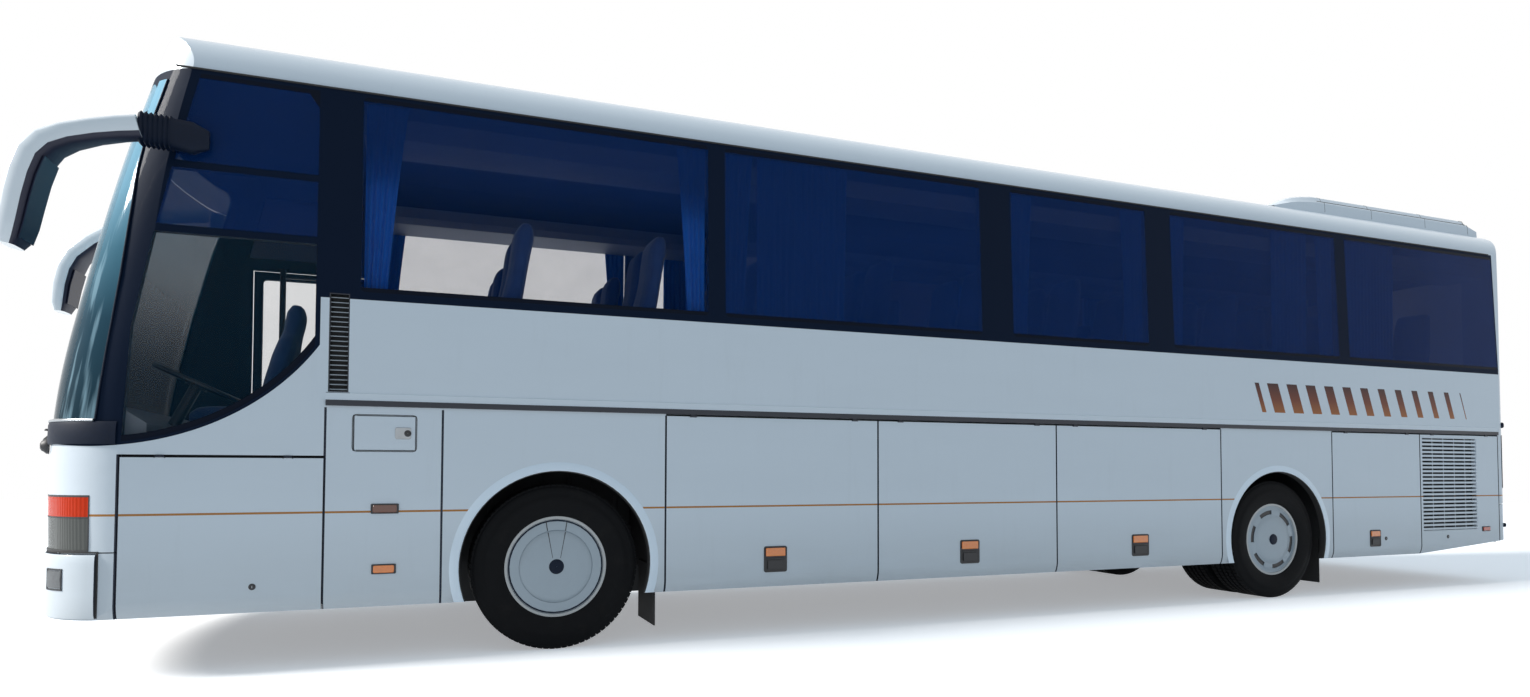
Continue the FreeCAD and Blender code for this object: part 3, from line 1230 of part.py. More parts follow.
wipers = []
wiperR = dim["wiperRadius"].value
wiperZ = dim["screenBottom"].value - 42
for sign, word in ((1, "Left"), (-1, "Right")):
    startY = sign * (dim["screenHalfWidth"].value - 180)
    endY = startY - sign * dim["wiperLength"].value
    midY = (startY + endY) / 2
    blade = bent_tube([
        (nose_at(startY, wiperZ) - 20, startY, wiperZ), (nose_at(startY, wiperZ) + 34, startY, wiperZ),
        (nose_at(midY, wiperZ + 90) + 34, midY, wiperZ + 90),
        (nose_at(endY, wiperZ + 170) + 22, endY, wiperZ + 170)], wiperR, 16)
    wipers.append(cut("wiper" + word, made("wiperBlank" + word, blade), [outer]))
node(group("wiperSet", wipers), "wipers")

# Driver's place: dashboard, steering wheel and seat.

dashBack = platformFront - 80
dashTop = platform + dim["dashHeight"]
dashBlank = plate("dashBlank", "XZ", [
    (dashBack, platform), (platformFront, platform), (platformFront, platform - dim["dashSkirt"]),
    (nose, platform - dim["dashSkirt"]),
    (nose, dim["screenBottom"] - 20), (nose - 330, dashTop - 150), (nose - 470, dashTop - 100),
    (dashBack, dashTop - 190)], -halfWidth, halfWidth)
node(common("dashboardPiece", dashBlank, inner), "dashboard")

seatY = dim["driverSeatSide"]
wheelCentre = FreeCAD.Vector(nose.value - 700, seatY.value, platform.value + 640)
tilt = FreeCAD.Vector(math.sin(math.radians(dim["steeringTilt"].value)), 0,
                      -math.cos(math.radians(dim["steeringTilt"].value)))
wheelRim = Part.makeTorus(dim["steeringRadius"].value, 15, wheelCentre, tilt)
column = Part.makeCylinder(32, 420, wheelCentre + tilt * 24, tilt)
boss = Part.makeCylinder(60, 34, wheelCentre - tilt * 6, tilt)
spokes = []
for angle in (0, 120, 240):
    spoke = Part.makeBox(dim["steeringRadius"].value, 36, 14,
                         FreeCAD.Vector(0, -18, -7))
    spoke.rotate(FreeCAD.Vector(), FreeCAD.Vector(0, 0, 1), angle)
    spoke.Placement = FreeCAD.Placement(wheelCentre, FreeCAD.Rotation(
        FreeCAD.Vector(0, 0, 1), tilt)).multiply(spoke.Placement)
    spokes.append(spoke)
steeringBlank = made("steeringBlank", wheelRim.fuse([column, boss] + spokes))
node(cut("steeringWheel", steeringBlank, [dashBlank]), "steering_wheel")


def seat_profile(back, floor):
    """Side view of a seat: pedestal, cushion and a backrest that leans back."""
    lean = dim["backRecline"]
    thick = dim["seatThickness"]
    high = floor + dim["seatBackTop"]
    cushion = floor + dim["seatCushionHeight"]
    front = back + lean + dim["seatCushionDepth"]
    return [(back + lean, floor), (front - 110, floor), (front - 90, cushion - 130),
            (front, cushion - 120), (front, cushion), (back + lean + thick - 10, cushion - 20),
            (back + thick, high - 40), (back + thick - 40, high), (back, high),
            (back + lean - 20, cushion - 120)]


driverBack = nose - dim["driverSeatAt"] - dim["backRecline"]
node(plate("driverSeat", "XZ", seat_profile(driverBack, platform + dim["seatGap"]),
           seatY - dim["driverSeatWidth"] / 2, seatY + dim["driverSeatWidth"] / 2),
     "driver_seat")

seatFloor = deck + dim["seatGap"]
firstBack = nose - dim["firstSeatBack"]
rows = []
for row in range(int(dim["seatRows"].value)):
    back = firstBack - row * dim["seatPitch"]
    seatPair = plate(f"seatRow{row}", "XZ", seat_profile(back, seatFloor), dim["seatInner"],
                     dim["seatInner"] + dim["seatWidth"])
    rows += [seatPair, mirrored(f"seatRowRight{row}", seatPair)]
node(group("seatSet", rows), "passenger_seats")

# Luggage racks under the roof, and curtains in the windows' heads.

rackBlock = plate("rackBlock", "YZ", [
    (dim["rackInner"], dim["rackBottom"] + 40), (dim["rackInner"] + 60, dim["rackBottom"]),
    (halfWidth, dim["rackBottom"]), (halfWidth, dim["rackTop"]),
    (dim["rackInner"], dim["rackTop"])], tailPanel, windowSpans[0][1])
rackLeft = common("rackLeft", rackBlock, inner)
node(group("rackSet", [rackLeft, mirrored("rackRight", rackLeft)]), "luggage_racks")

# each drop: its window from the front, the distance from that window's front edge, its width
curtainDrops = [(0, 30, 207), (0, 1856, 172), (1, 30, 173), (1, 239, 675), (2, 30, 188),
                (2, 1079, 207), (3, 30, 144), (3, 1189, 421), (3, 1738, 178), (4, 30, 661)]
curtains = []
curtainY = innerWall + dim["curtainSetOut"]
for i, (window, along, width) in enumerate(curtainDrops, start=1):
    front = windowSpans[window][1] - along
    drop = box(f"curtain{i}", front - width, front, curtainY - dim["curtainThickness"], curtainY,
               dim["curtainBottom"], glassTop - dim["seatGap"])
    curtains += [drop, mirrored(f"curtainRight{i}", drop)]
node(group("curtainSet", curtains), "curtains")

# Mudflaps behind the wheels.

flaps = []
for word, x in (("front", bayStart + bulk), ("rear", rearAxle - house + sheet10)):
    flap = box(word + "Mudflap", x, x + dim["mudflapThickness"], dim["mudflapInner"],
               dim["mudflapInner"] + dim["mudflapWidth"], dim["mudflapBottom"], bayFloor)
    flaps += [flap, mirrored(word + "MudflapRight", flap)]
node(group("mudflapSet", flaps), "mudflaps")

doc.recompute()

faults = [obj.Name for obj in doc.Objects if "Invalid" in obj.State or "Error" in obj.State]
if faults:
    raise RuntimeError("objects that failed: " + ", ".join(faults))
os.makedirs("parts", exist_ok=True)
for piece in nodes:
    shape = piece.Shape
    if shape.isNull() or not shape.isValid() or not shape.Solids:
        raise RuntimeError(f"{piece.Label} has no valid solid")
for piece in nodes:
    piece.Shape.exportStep(f"parts/{piece.Label}.step")
    print(piece.Label, len(piece.Shape.Solids), round(piece.Shape.Volume / 1e9, 4))
print(len(nodes), "nodes")
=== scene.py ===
import math
import bpy
from mathutils import Matrix, Vector


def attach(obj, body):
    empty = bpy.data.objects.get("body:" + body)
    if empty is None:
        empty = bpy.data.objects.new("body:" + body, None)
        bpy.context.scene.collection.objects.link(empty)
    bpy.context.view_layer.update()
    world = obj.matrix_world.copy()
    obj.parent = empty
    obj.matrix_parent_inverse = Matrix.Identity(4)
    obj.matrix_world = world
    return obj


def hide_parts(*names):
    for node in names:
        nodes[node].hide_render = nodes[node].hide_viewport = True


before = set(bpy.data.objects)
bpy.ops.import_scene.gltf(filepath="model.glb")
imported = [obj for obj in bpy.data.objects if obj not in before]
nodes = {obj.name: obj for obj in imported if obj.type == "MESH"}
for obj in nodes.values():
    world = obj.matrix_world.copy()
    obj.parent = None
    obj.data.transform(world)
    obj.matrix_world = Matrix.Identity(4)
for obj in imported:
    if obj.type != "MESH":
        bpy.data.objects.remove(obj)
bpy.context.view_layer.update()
bpy.context.scene.view_settings.view_transform = "Standard"
print("frame loaded:", len(nodes), "nodes")


# hands: small modelling steps used by every piece

signs = {"left": 1, "right": -1}


def pick(*objects):
    if bpy.context.mode != "OBJECT":
        bpy.ops.object.mode_set(mode="OBJECT")
    bpy.ops.object.select_all(action="DESELECT")
    for obj in objects:
        obj.select_set(True)
    bpy.context.view_layer.objects.active = objects[0] if objects else None


def settle(obj):
    # puts the object's place and turn into its mesh
    pick(obj)
    bpy.ops.object.transform_apply(location=True, rotation=True, scale=True)
    return obj


weld = (bpy.ops.mesh.remove_doubles, {"threshold": 0.00001})
fillHoles = (bpy.ops.mesh.fill_holes, {"sides": 0})
faceOut = (bpy.ops.mesh.normals_make_consistent, {"inside": False})


def edit(obj, *steps):
    # runs each step, an operator and its settings, on the whole mesh
    pick(obj)
    bpy.ops.object.mode_set(mode="EDIT")
    for operator, settings in steps:
        bpy.ops.mesh.select_all(action="SELECT")
        operator(**settings)
    bpy.ops.object.mode_set(mode="OBJECT")
    return obj


def block(name, low, high, bevel, segments=2):
    # a box between two corners, with its edges rounded
    low, high = Vector(low), Vector(high)
    pick()
    bpy.ops.mesh.primitive_cube_add(size=1, location=(low + high) / 2)
    obj = bpy.context.active_object
    obj.name = name
    obj.scale = high - low
    settle(obj)
    rounding = {"offset": bevel, "segments": segments, "affect": "EDGES"}
    return edit(obj, (bpy.ops.mesh.bevel, rounding))


def blocks(*rows):
    # one box for each row of low corner, high corner, bevel and segments
    return [block("box", *row) for row in rows]


def chain(name, points):
    # a plane merged to one vertex, then drawn on point by point
    points = [Vector(p) for p in points]
    pick()
    bpy.ops.mesh.primitive_plane_add(size=0.01, location=points[0])
    obj = bpy.context.active_object
    obj.name = name
    settle(obj)
    bpy.ops.object.mode_set(mode="EDIT")
    bpy.ops.mesh.select_mode(type="VERT")
    bpy.ops.mesh.select_all(action="SELECT")
    bpy.ops.mesh.merge(type="CENTER")
    for before, after in zip(points, points[1:]):
        bpy.ops.mesh.extrude_region_move(TRANSFORM_OT_translate={"value": after - before})
    bpy.ops.object.mode_set(mode="OBJECT")
    return obj


def ringChain(name, points):
    # a chain that comes back to its first point
    return chain(name, list(points) + [points[0]])


def lathe(name, centre, profile, steps=72):
    # profile is (distance from the axle, place across the bus); the axle lies along Y
    centre = Vector(centre)
    points = [centre + Vector((0, across, radius)) for radius, across in profile]
    spin = {"steps": steps, "angle": math.tau, "center": centre, "axis": (0, 1, 0)}
    return edit(ringChain(name, points), weld, (bpy.ops.mesh.spin, spin), weld, faceOut)


def plate(name, outline, depth):
    # a closed outline filled and drawn out by the vector depth
    draw = {"TRANSFORM_OT_translate": {"value": Vector(depth)}}
    return edit(ringChain(name, outline), weld, (bpy.ops.mesh.edge_face_add, {}),
                (bpy.ops.mesh.extrude_region_move, draw), faceOut)


def chooseFaces(obj, test):
    # goes to edit mode with just the faces whose centre and normal pass the test
    pick(obj)
    bpy.ops.object.mode_set(mode="EDIT")
    bpy.ops.mesh.select_mode(type="FACE")
    bpy.ops.mesh.select_all(action="DESELECT")
    bpy.ops.object.mode_set(mode="OBJECT")
    for face in obj.data.polygons:
        face.select = bool(test(face.center, face.normal))
    bpy.ops.object.mode_set(mode="EDIT")


def addModifier(obj, kind, **settings):
    pick(obj)
    modifier = obj.modifiers.new(kind.lower(), kind)
    for key, value in settings.items():
        setattr(modifier, key, value)
    bpy.ops.object.modifier_apply(modifier=modifier.name)


def copyOf(obj, name, move=(0, 0, 0), mirror=False):
    # mirror takes the copy to the other side of the bus
    pick(obj)
    bpy.ops.object.duplicate()
    twin = bpy.context.active_object
    twin.name = name
    flip = Matrix.Diagonal((1, -1, 1, 1)) if mirror else Matrix.Identity(4)
    twin.matrix_world = Matrix.Translation(Vector(move)) @ flip
    settle(twin)
    return edit(twin, faceOut) if mirror else twin


def joined(name, parts):
    pick(*parts)
    if len(parts) > 1:
        bpy.ops.object.join()
    obj = bpy.context.active_object
    obj.name = name
    return obj


def ringAt(middle, along, depth, width, lateral=(0, 1, 0), count=20, square=0.55):
    # a rounded rectangle across the direction along; square below 1 gives fuller corners
    along, lateral, middle = Vector(along).normalized(), Vector(lateral), Vector(middle)
    up = along.cross(lateral).normalized()
    ring = []
    for i in range(count):
        c, s = math.cos(math.tau * i / count), math.sin(math.tau * i / count)
        sideways = math.copysign(abs(c) ** square, c) * width / 2
        upwards = math.copysign(abs(s) ** square, s) * depth / 2
        ring.append(middle + lateral * sideways + up * upwards)
    return ring


def alongAt(points, i):
    # the direction of a line of points at its point i
    return (points[min(i + 1, len(points) - 1)] - points[max(i - 1, 0)]).normalized()


def loft(name, rings):
    # closed chains bridged one to the next, with both ends filled
    obj = joined(name, [ringChain("ring", ring) for ring in rings])
    return edit(obj, weld, (bpy.ops.mesh.bridge_edge_loops, {}), fillHoles, faceOut)


def paintFaces(obj, index, test):
    for face in obj.data.polygons:
        if test(face.center, face.normal):
            face.material_index = index


def finishPiece(obj, body, finish, stands=(), smooth=40):
    # smooths, paints and hands the piece to the body it rides on
    settle(obj)
    bpy.ops.object.shade_smooth_by_angle(angle=math.radians(smooth))
    if finish:
        obj.data.materials.clear()
        for material in finish if isinstance(finish, (list, tuple)) else [finish]:
            obj.data.materials.append(material)
    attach(obj, body)
    if stands:
        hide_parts(*stands)
    return obj


def onePiece(pieces, name, body, finish, slot, stands=(), smooth=40):
    return finishPiece(joined(name, pieces), body, finish, stands, smooth)


def bothSides(pieces, name, body, finish, slot, smooth=40):
    # the joined left piece and its mirrored twin; {} in the body's name takes the side
    source = joined(name, pieces)
    for side in ("right", "left"):
        twin = copyOf(source, f"{name}_{side}", mirror=side == "right")
        finishPiece(twin, body.format(side), finish, smooth=smooth)
    bpy.data.objects.remove(source)


# shader arithmetic

class Wire:
    # a node socket that takes part in plain expressions
    def __init__(self, tree, socket=None):
        self.tree = tree
        self.socket = socket

    def node(self, kind, settings=None, inputs=None, output=0):
        made = self.tree.nodes.new(kind)
        for key, value in (settings or {}).items():
            if key == "stops":
                ramp = made.color_ramp
                while len(ramp.elements) < len(value):
                    ramp.elements.new(0.5)
                for element, (place, colour) in zip(ramp.elements, value):
                    element.position = place
                    element.color = (*colour, 1)
            else:
                setattr(made, key, value)
        for key, value in (inputs or {}).items():
            if isinstance(value, Wire):
                self.tree.links.new(value.socket, made.inputs[key])
            else:
                made.inputs[key].default_value = value
        return Wire(self.tree, made.outputs[output])

    def other(self, output):
        return Wire(self.tree, self.socket.node.outputs[output])

    def maths(self, operation, a, b=0.0):
        return self.node("ShaderNodeMath", {"operation": operation}, {0: a, 1: b})

    def __add__(self, b):
        return self.maths("ADD", self, b)

    def __radd__(self, a):
        return self.maths("ADD", a, self)

    def __sub__(self, b):
        return self.maths("SUBTRACT", self, b)

    def __rsub__(self, a):
        return self.maths("SUBTRACT", a, self)

    def __mul__(self, b):
        return self.maths("MULTIPLY", self, b)

    def __rmul__(self, a):
        return self.maths("MULTIPLY", a, self)

    def __truediv__(self, b):
        return self.maths("DIVIDE", self, b)

    def __gt__(self, b):
        return self.maths("GREATER_THAN", self, b)

    def __lt__(self, b):
        return self.maths("LESS_THAN", self, b)

    def __abs__(self):
        return self.maths("ABSOLUTE", self)

    def __or__(self, b):
        return self.maths("MAXIMUM", self, b)

    def root(self):
        return self.maths("SQRT", self)

    def fraction(self):
        return self.maths("FRACT", self)

    def sine(self):
        return self.maths("SINE", self)

    def fade(self, low, high):
        # 0 below low, 1 above high, smooth between; low may be the larger
        settings = {"interpolation_type": "SMOOTHSTEP"}
        return self.node("ShaderNodeMapRange", settings, {0: self, 1: low, 2: high})

    def mix(self, first, second):
        # self is the share of the second colour
        made = self.tree.nodes.new("ShaderNodeMix")
        made.data_type = "RGBA"
        for index, value in ((0, self), (6, first), (7, second)):
            if isinstance(value, Wire):
                self.tree.links.new(value.socket, made.inputs[index])
            else:
                made.inputs[index].default_value = (*value, 1)
        return Wire(self.tree, made.outputs[2])

    def noise(self, scale, detail=4.0, rough=0.6):
        inputs = {"Vector": self, "Scale": scale, "Detail": detail, "Roughness": rough}
        return self.node("ShaderNodeTexNoise", None, inputs)

    def stretched(self, scale):
        return self.node("ShaderNodeMapping", None, {"Vector": self, "Scale": scale})

    def bump(self, strength, distance):
        inputs = {"Height": self, "Strength": strength, "Distance": distance}
        return self.node("ShaderNodeBump", None, inputs)

    def ramp(self, stops):
        return self.node("ShaderNodeValToRGB", {"stops": stops}, {0: self})


def socketOf(shader, key):
    # coatWeight is the shader's Coat Weight
    words = "".join(" " + letter if letter.isupper() else letter for letter in key)
    title = words[0].upper() + words[1:]
    return shader.inputs["Specular IOR Level" if key == "specular" else title]


def newFinish(name, **fixed):
    # a material, its shader, and the wire of its Object coordinates
    material = bpy.data.materials.new(name)
    material.use_nodes = True
    shader = material.node_tree.nodes["Principled BSDF"]
    for key, value in fixed.items():
        socketOf(shader, key).default_value = value
    place = Wire(material.node_tree).node("ShaderNodeTexCoord", None, None, "Object")
    return material, shader, place


def feed(shader, **wires):
    for key, wire in wires.items():
        wire.tree.links.new(wire.socket, socketOf(shader, key))


def parts(place):
    x = place.node("ShaderNodeSeparateXYZ", None, {0: place})
    return x, x.other(1), x.other(2)


def between(value, low, high):
    return (value > low) * (value < high)


def closeTo(value, place, reach):
    return abs(value - place) < reach


def scaled(colour, share, lift=0.0):
    return tuple(c * share + lift for c in colour)


# finishes

paint = {
    # the coach's white, written darker and bluer than the real paint: in part painted shade of the
    # side
    "white": (0.68, 0.735, 0.785),
    "black": (0.0025, 0.0085, 0.024),
    "lining": (0.050, 0.058, 0.072),
    "stripe": (0.42, 0.17, 0.035),
    "run": (0.50, 0.53, 0.55),
    "dust": (0.42, 0.42, 0.40),
    "outside": 1.1,
    # height, half width and front end of the thin stripe
    "stripeLine": (0.853, 0.0058, 5.35),
    # rear, front, foot, top and least distance from the middle of the engine grille's slats
    "slats": (-5.775, -4.955, 0.52, 1.412, 1.19),
    # rear, front, foot and top of the slanted bars
    "bars": (-5.635, -2.905, 1.59, 1.84),
    "barsPerMetre": 4.4,
    "barsLean": -0.35,
    "barsRamp": [(0.0, (0.36, 0.12, 0.03)), (0.45, (0.19, 0.045, 0.02)),
                 (1.0, (0.05, 0.014, 0.016))],
    "bandLow": 2.045,
    "bandRear": -6.14,
    "cabRear": 4.305,
    "cowlTop": 1.235,
    "pillarRear": 5.215,
    "doorRear": 4.0,
    "doorLow": 1.45,
    "blackFoot": 1.15,
    "roofJoint": 3.24,
    "tailFace": -6.2,
    "windowCentre": (5.362, 2.469),
    "windowRadius": 1.262,
    "gaps": (4.271, 3.660, 2.330, 0.808, -0.729, -2.420, -3.750, -4.935, -6.101),
    # half width of the dark line at each gap, painted shade
    "gapEdge": 0.0062,
    "gapTop": 1.434,
    # rear, front, top and half width of the painted shade line in the service flap's gap
    "serviceGapShade": (4.267, 5.223, 1.158, 0.0075),
    # half width, foot and top of the engine lid, then the half widths of the painted shade lines at
    # its gaps
    "lid": (0.928, 0.804, 1.944),
    "lidEdges": (0.0055, 0.0070),
}


def fromWindowCentre(x, z):
    # the distance from the centre of the driver's window's curved foot
    cx, cz = paint["windowCentre"]
    return ((x - cx) * (x - cx) + (z - cz) * (z - cz)).root()


def makePaint():
    material, shader, place = newFinish("coachPaint", coatRoughness=0.06, specular=0.05)
    x, y, z = parts(place)
    side = abs(y)
    outside = side > paint["outside"]
    # the inner faces of the panels look towards the middle of the coach
    nx, ny, nz = parts(place.node("ShaderNodeTexCoord", None, None, "Normal"))
    outward = nx * x * 0.2 + ny * y + nz * (z - 2.2) * 0.7
    rear, fore, foot, top, least = paint["slats"]
    slatted = between(x, rear, fore) * between(z, foot, top) * (side > least)
    # painted shade: the inner faces take a dark lining tone that stands for the shade inside the
    # coach and its wheel arches
    inner = (outward < 0.0) * (1 - slatted)
    grime = place.stretched((0.5, 1.0, 2.2)).noise(2.6, 6.0, 0.62)
    # darker, greyer and duller towards the bottom
    dust = z.fade(0.95, 0.3) * (grime * 0.8 + 0.05) * 0.55
    runs = place.stretched((5.0, 5.0, 0.5)).noise(3.0, 5.0, 0.7).fade(0.52, 0.8) * 0.10
    tone = grime.mix(scaled(paint["white"], 0.955), paint["white"])
    tone = runs.mix(tone, paint["run"])
    tone = dust.mix(tone, paint["dust"])
    height, half, fore = paint["stripeLine"]
    tone = (closeTo(z, height, half) * (x < fore) * outside).mix(tone, paint["stripe"])
    # slanted plain bars, darker at the top, where the side was decorated
    rear, fore, foot, top = paint["bars"]
    slant = x + (z - foot) * paint["barsLean"]
    cycle = (slant * paint["barsPerMetre"]).fraction()
    bars = between(z, foot, top) * (cycle < (x - rear) * 0.12 + 0.26)
    bars = bars * between(slant, rear, fore) * outside
    tone = bars.mix(tone, ((z - foot) / (top - foot)).ramp(paint["barsRamp"]))
    # the black band round the glass, the cab's black frame and the cowl
    arc = (fromWindowCentre(x, z) < paint["windowRadius"]) * (x > paint["cabRear"])
    door = (x > paint["doorRear"]) * (y < 0.0) * (z > paint["doorLow"])
    band = (z > paint["bandLow"]) * (x > paint["bandRear"])
    cowl = (x > paint["pillarRear"]) * (z > paint["cowlTop"])
    dark = (band | arc | cowl | door) * between(z, paint["blackFoot"], paint["roofJoint"])
    dark = dark * (x > paint["tailFace"])
    # painted shade: dark lines round the service flap and the engine lid and at the panels' gaps,
    # partly the edges' dark rubber and partly the shade in the gaps
    rear, fore, top, half = paint["serviceGapShade"]
    flapGapShade = (closeTo(x, fore, half) | closeTo(z, top, half)) * (y > paint["outside"])
    flapGapShade = flapGapShade * between(x, rear, fore + half) * (z < top + half)
    width, foot, top = paint["lid"]
    half, topHalf = paint["lidEdges"]
    lidGapShade = closeTo(side, width, half) | closeTo(z, foot, half) | closeTo(z, top, topHalf)
    lidGapShade = lidGapShade * (side < width + half) * between(z, foot - half, top + topHalf)
    black = dark | flapGapShade | lidGapShade * (x < paint["tailFace"])
    for gap in paint["gaps"]:
        black = black | closeTo(x, gap, paint["gapEdge"]) * (z < paint["gapTop"]) * outside
    tone = black.mix(tone, paint["black"])
    tone = inner.mix(tone, paint["lining"])
    wave = place.stretched((0.6, 1.0, 1.6)).noise(1.1, 1.0, 0.4)
    gloss = (1 - dark * 0.94) * (1 - inner) * (1 - dust)
    feed(shader, baseColor=tone, coatWeight=gloss * 0.45,
         roughness=inner * 0.4 + dust * 0.4 + dark * 0.26 + grime * 0.06 + 0.30,
         normal=wave.bump(0.06, 0.05))
    return material


pane = {
    "foot": 2.115,
    "top": 3.19,
    "fritTone": (0.002, 0.006, 0.016),
    "arcRadius": 1.215,
    "arcRear": 4.3,
    "driverRear": 4.2,
    "driverTop": 2.36,
    "driverTone": (0.010, 0.060, 0.110),
    "firstRear": 2.0,
}


def makeGlass(name, tint, alpha, side=False):
    material, shader, place = newFinish(name, roughness=0.05, specular=0.06)
    x, y, z = parts(place)
    wipe = place.stretched((1.0, 1.0, 1.6)).noise(3.0, 5.0, 0.6)
    tone = wipe.mix(tint, scaled(tint, 1.35, 0.002))
    cover = wipe * 0.06 + alpha
    if side:
        # clearer by the driver and in the first pane, thicker far off, with a printed black edge
        left = y > 0
        right = 1 - left
        behind = x < pane["driverRear"]
        arc = (fromWindowCentre(x, z) > pane["arcRadius"]) * (x > pane["arcRear"]) * left
        frit = (z < pane["foot"]) * behind | (z > pane["top"]) | arc
        driver = (x > pane["driverRear"]) * left * (z < pane["driverTop"])
        first = left * (x > pane["firstRear"]) * z.fade(3.00, 2.60) + right * x.fade(-0.2, 1.4)
        first = first * behind
        far = right * (1 - first) + left * x.fade(-4.6, -5.6) * 0.6
        tone = driver.mix(tone, pane["driverTone"])
        tone = frit.mix(tone, pane["fritTone"])
        cover = (cover - driver * 0.46 - first * 0.40 + far * 0.34) | frit
    feed(shader, baseColor=tone, alpha=cover, normal=wipe.bump(0.02, 0.02))
    return material


screen = {
    "foot": 1.3,
    "height": 1.9,
    # painted reflection: the ramp grows pale towards the top as the sky's reflection, over a real
    # tint band
    "ramp": [(0.0, (0.006, 0.026, 0.040)), (0.30, (0.012, 0.050, 0.078)),
             (0.50, (0.050, 0.150, 0.210)), (0.68, (0.150, 0.330, 0.440)),
             (1.0, (0.230, 0.460, 0.600))],
    "streakTone": (0.36, 0.56, 0.66),
}


def makeScreen(name, solid):
    # the windscreen: a tint band with the sky's reflection painted in, pale sky blue at the top and
    # dark greenish blue below, streaked upright
    material, shader, place = newFinish(name, roughness=0.06, specular=0.10)
    z = parts(place)[2]
    tone = ((z - screen["foot"]) / screen["height"]).ramp(screen["ramp"])
    streak = place.stretched((9.0, 26.0, 0.55)).noise(1.0, 3.0, 0.55).fade(0.52, 0.66)
    tone = (streak * (0.38 if solid else 0.04)).mix(tone, screen["streakTone"])
    feed(shader, baseColor=tone, normal=place.noise(0.8, 2.0, 0.5).bump(0.02, 0.01))
    if not solid:
        feed(shader, alpha=z.fade(2.5, 1.6) * 0.20 + 0.68)
    return material


def makePlain(name, colour, rough, grain, spread=0.18, metal=0.0, bump=0.15, **fixed):
    # colour, roughness and relief all stirred by one noise of the given grain
    material, shader, place = newFinish(name, metallic=metal, **fixed)
    stir = place.noise(grain, 6.0, 0.62)
    tone = stir.mix(scaled(colour, 1 - spread), scaled(colour, 1 + spread))
    feed(shader, baseColor=tone, roughness=stir * 0.2 + (rough - 0.1),
         normal=stir.bump(bump, 0.002))
    return material


def makeRubber():
    material, shader, place = newFinish("tyreRubber", specular=0.12)
    stir = place.noise(9.0, 6.0, 0.65)
    fine = place.noise(160.0, 2.0, 0.5)
    dust = stir.fade(0.45, 0.8) * 0.4
    tone = dust.mix((0.0035, 0.0040, 0.0050), (0.020, 0.019, 0.018))
    feed(shader, baseColor=tone, roughness=stir * 0.25 + 0.62, normal=fine.bump(0.25, 0.001))
    return material


def makeCloth(name, colour, dark):
    material, shader, place = newFinish(name, roughness=0.9, sheenWeight=0.25, specular=0.2)
    x, _, z = parts(place)
    threads = (x * 900.0).sine() * (z * 900.0).sine()
    stir = place.noise(14.0, 4.0, 0.6)
    feed(shader, baseColor=stir.mix(dark, colour), normal=(threads * 0.5 + stir).bump(0.25, 0.0012))
    return material


coachPaint = makePaint()
tintedGlass = makeGlass("tintedGlass", (0.001, 0.022, 0.105), 0.54, side=True)
doorGlass = makeGlass("doorGlass", (0.020, 0.080, 0.130), 0.06)
clearGlass = makeScreen("screenGlass", False)
screenEdge = makeScreen("screenEdge", True)
tyreRubber = makeRubber()
# the wheel covers' silver is written darker than the metal: painted shade
wheelSilver = makePlain("wheelSilver", (0.29, 0.345, 0.39), 0.36, 6.0, 0.08, 0.25, 0.05)
ringSilver = makePlain("ringSilver", (0.40, 0.41, 0.41), 0.45, 20.0, 0.10, 0.2, 0.05)
lipPaint = makePlain("lipPaint", (0.72, 0.81, 0.89), 0.32, 4.0, 0.03, 0.0, 0.02, coatWeight=0.3)
steelRing = makePlain("steelRing", (0.34, 0.36, 0.38), 0.32, 20.0, 0.15, 0.7, 0.05)
darkPlastic = makePlain("darkPlastic", (0.012, 0.013, 0.016), 0.5, 60.0, 0.3, 0.0, 0.2)
chassisPaint = makePlain("chassisPaint", (0.016, 0.017, 0.019), 0.7, 12.0, 0.45)
castMetal = makePlain("castMetal", (0.10, 0.10, 0.10), 0.55, 22.0, 0.4, 0.6, 0.4)
floorCover = makePlain("floorCover", (0.06, 0.065, 0.075), 0.6, 90.0, 0.25)
flapRubber = makePlain("flapRubber", (0.014, 0.014, 0.015), 0.75, 30.0, 0.4)
lensAmber = makePlain("lensAmber", (0.85, 0.22, 0.03), 0.2, 60.0, 0.15, 0.0, 0.3, coatWeight=0.7)
lensDark = makePlain("lensDark", (0.13, 0.032, 0.012), 0.22, 60.0, 0.15, 0.0, 0.3, coatWeight=0.6)
lensRed = makePlain("lensRed", (0.50, 0.05, 0.02), 0.2, 60.0, 0.15, 0.0, 0.3, coatWeight=0.6)
lensClear = makePlain("lensClear", (0.14, 0.145, 0.15), 0.35, 40.0, 0.35, 0.0, 0.4, specular=0.15)
seatCloth = makeCloth("seatCloth", (0.035, 0.075, 0.20), (0.018, 0.035, 0.10))
curtainCloth = makeCloth("curtainCloth", (0.012, 0.15, 0.60), (0.007, 0.095, 0.42))
mirrorPaint = makePlain("mirrorPaint", (0.76, 0.80, 0.83), 0.25, 4.0, 0.02, 0.0, 0.02,
                        coatWeight=0.4)
# painted reflection: the mirror glass is a plain dark navy that stands for the dark things it
# reflects
mirrorGlassDarkReflection = makePlain("mirrorGlassDarkReflection", (0.007, 0.012, 0.034), 0.22, 3.0, 0.05, 0.0, 0.01,
                         specular=0.12)
# painted reflection: the housing's rear takes the dark navy of the mirror glass's reflection
mirrorRearDarkReflection = makePlain("mirrorRearDarkReflection", (0.006, 0.008, 0.026), 0.55, 60.0, 0.2, 0.0, 0.1)
cowlBlack = makePlain("cowlBlack", (0.0035, 0.0085, 0.022), 0.5, 40.0, 0.25, 0.0, 0.2,
                      specular=0.15)
cabinTrim = makePlain("cabinTrim", (0.16, 0.17, 0.19), 0.6, 40.0, 0.12)


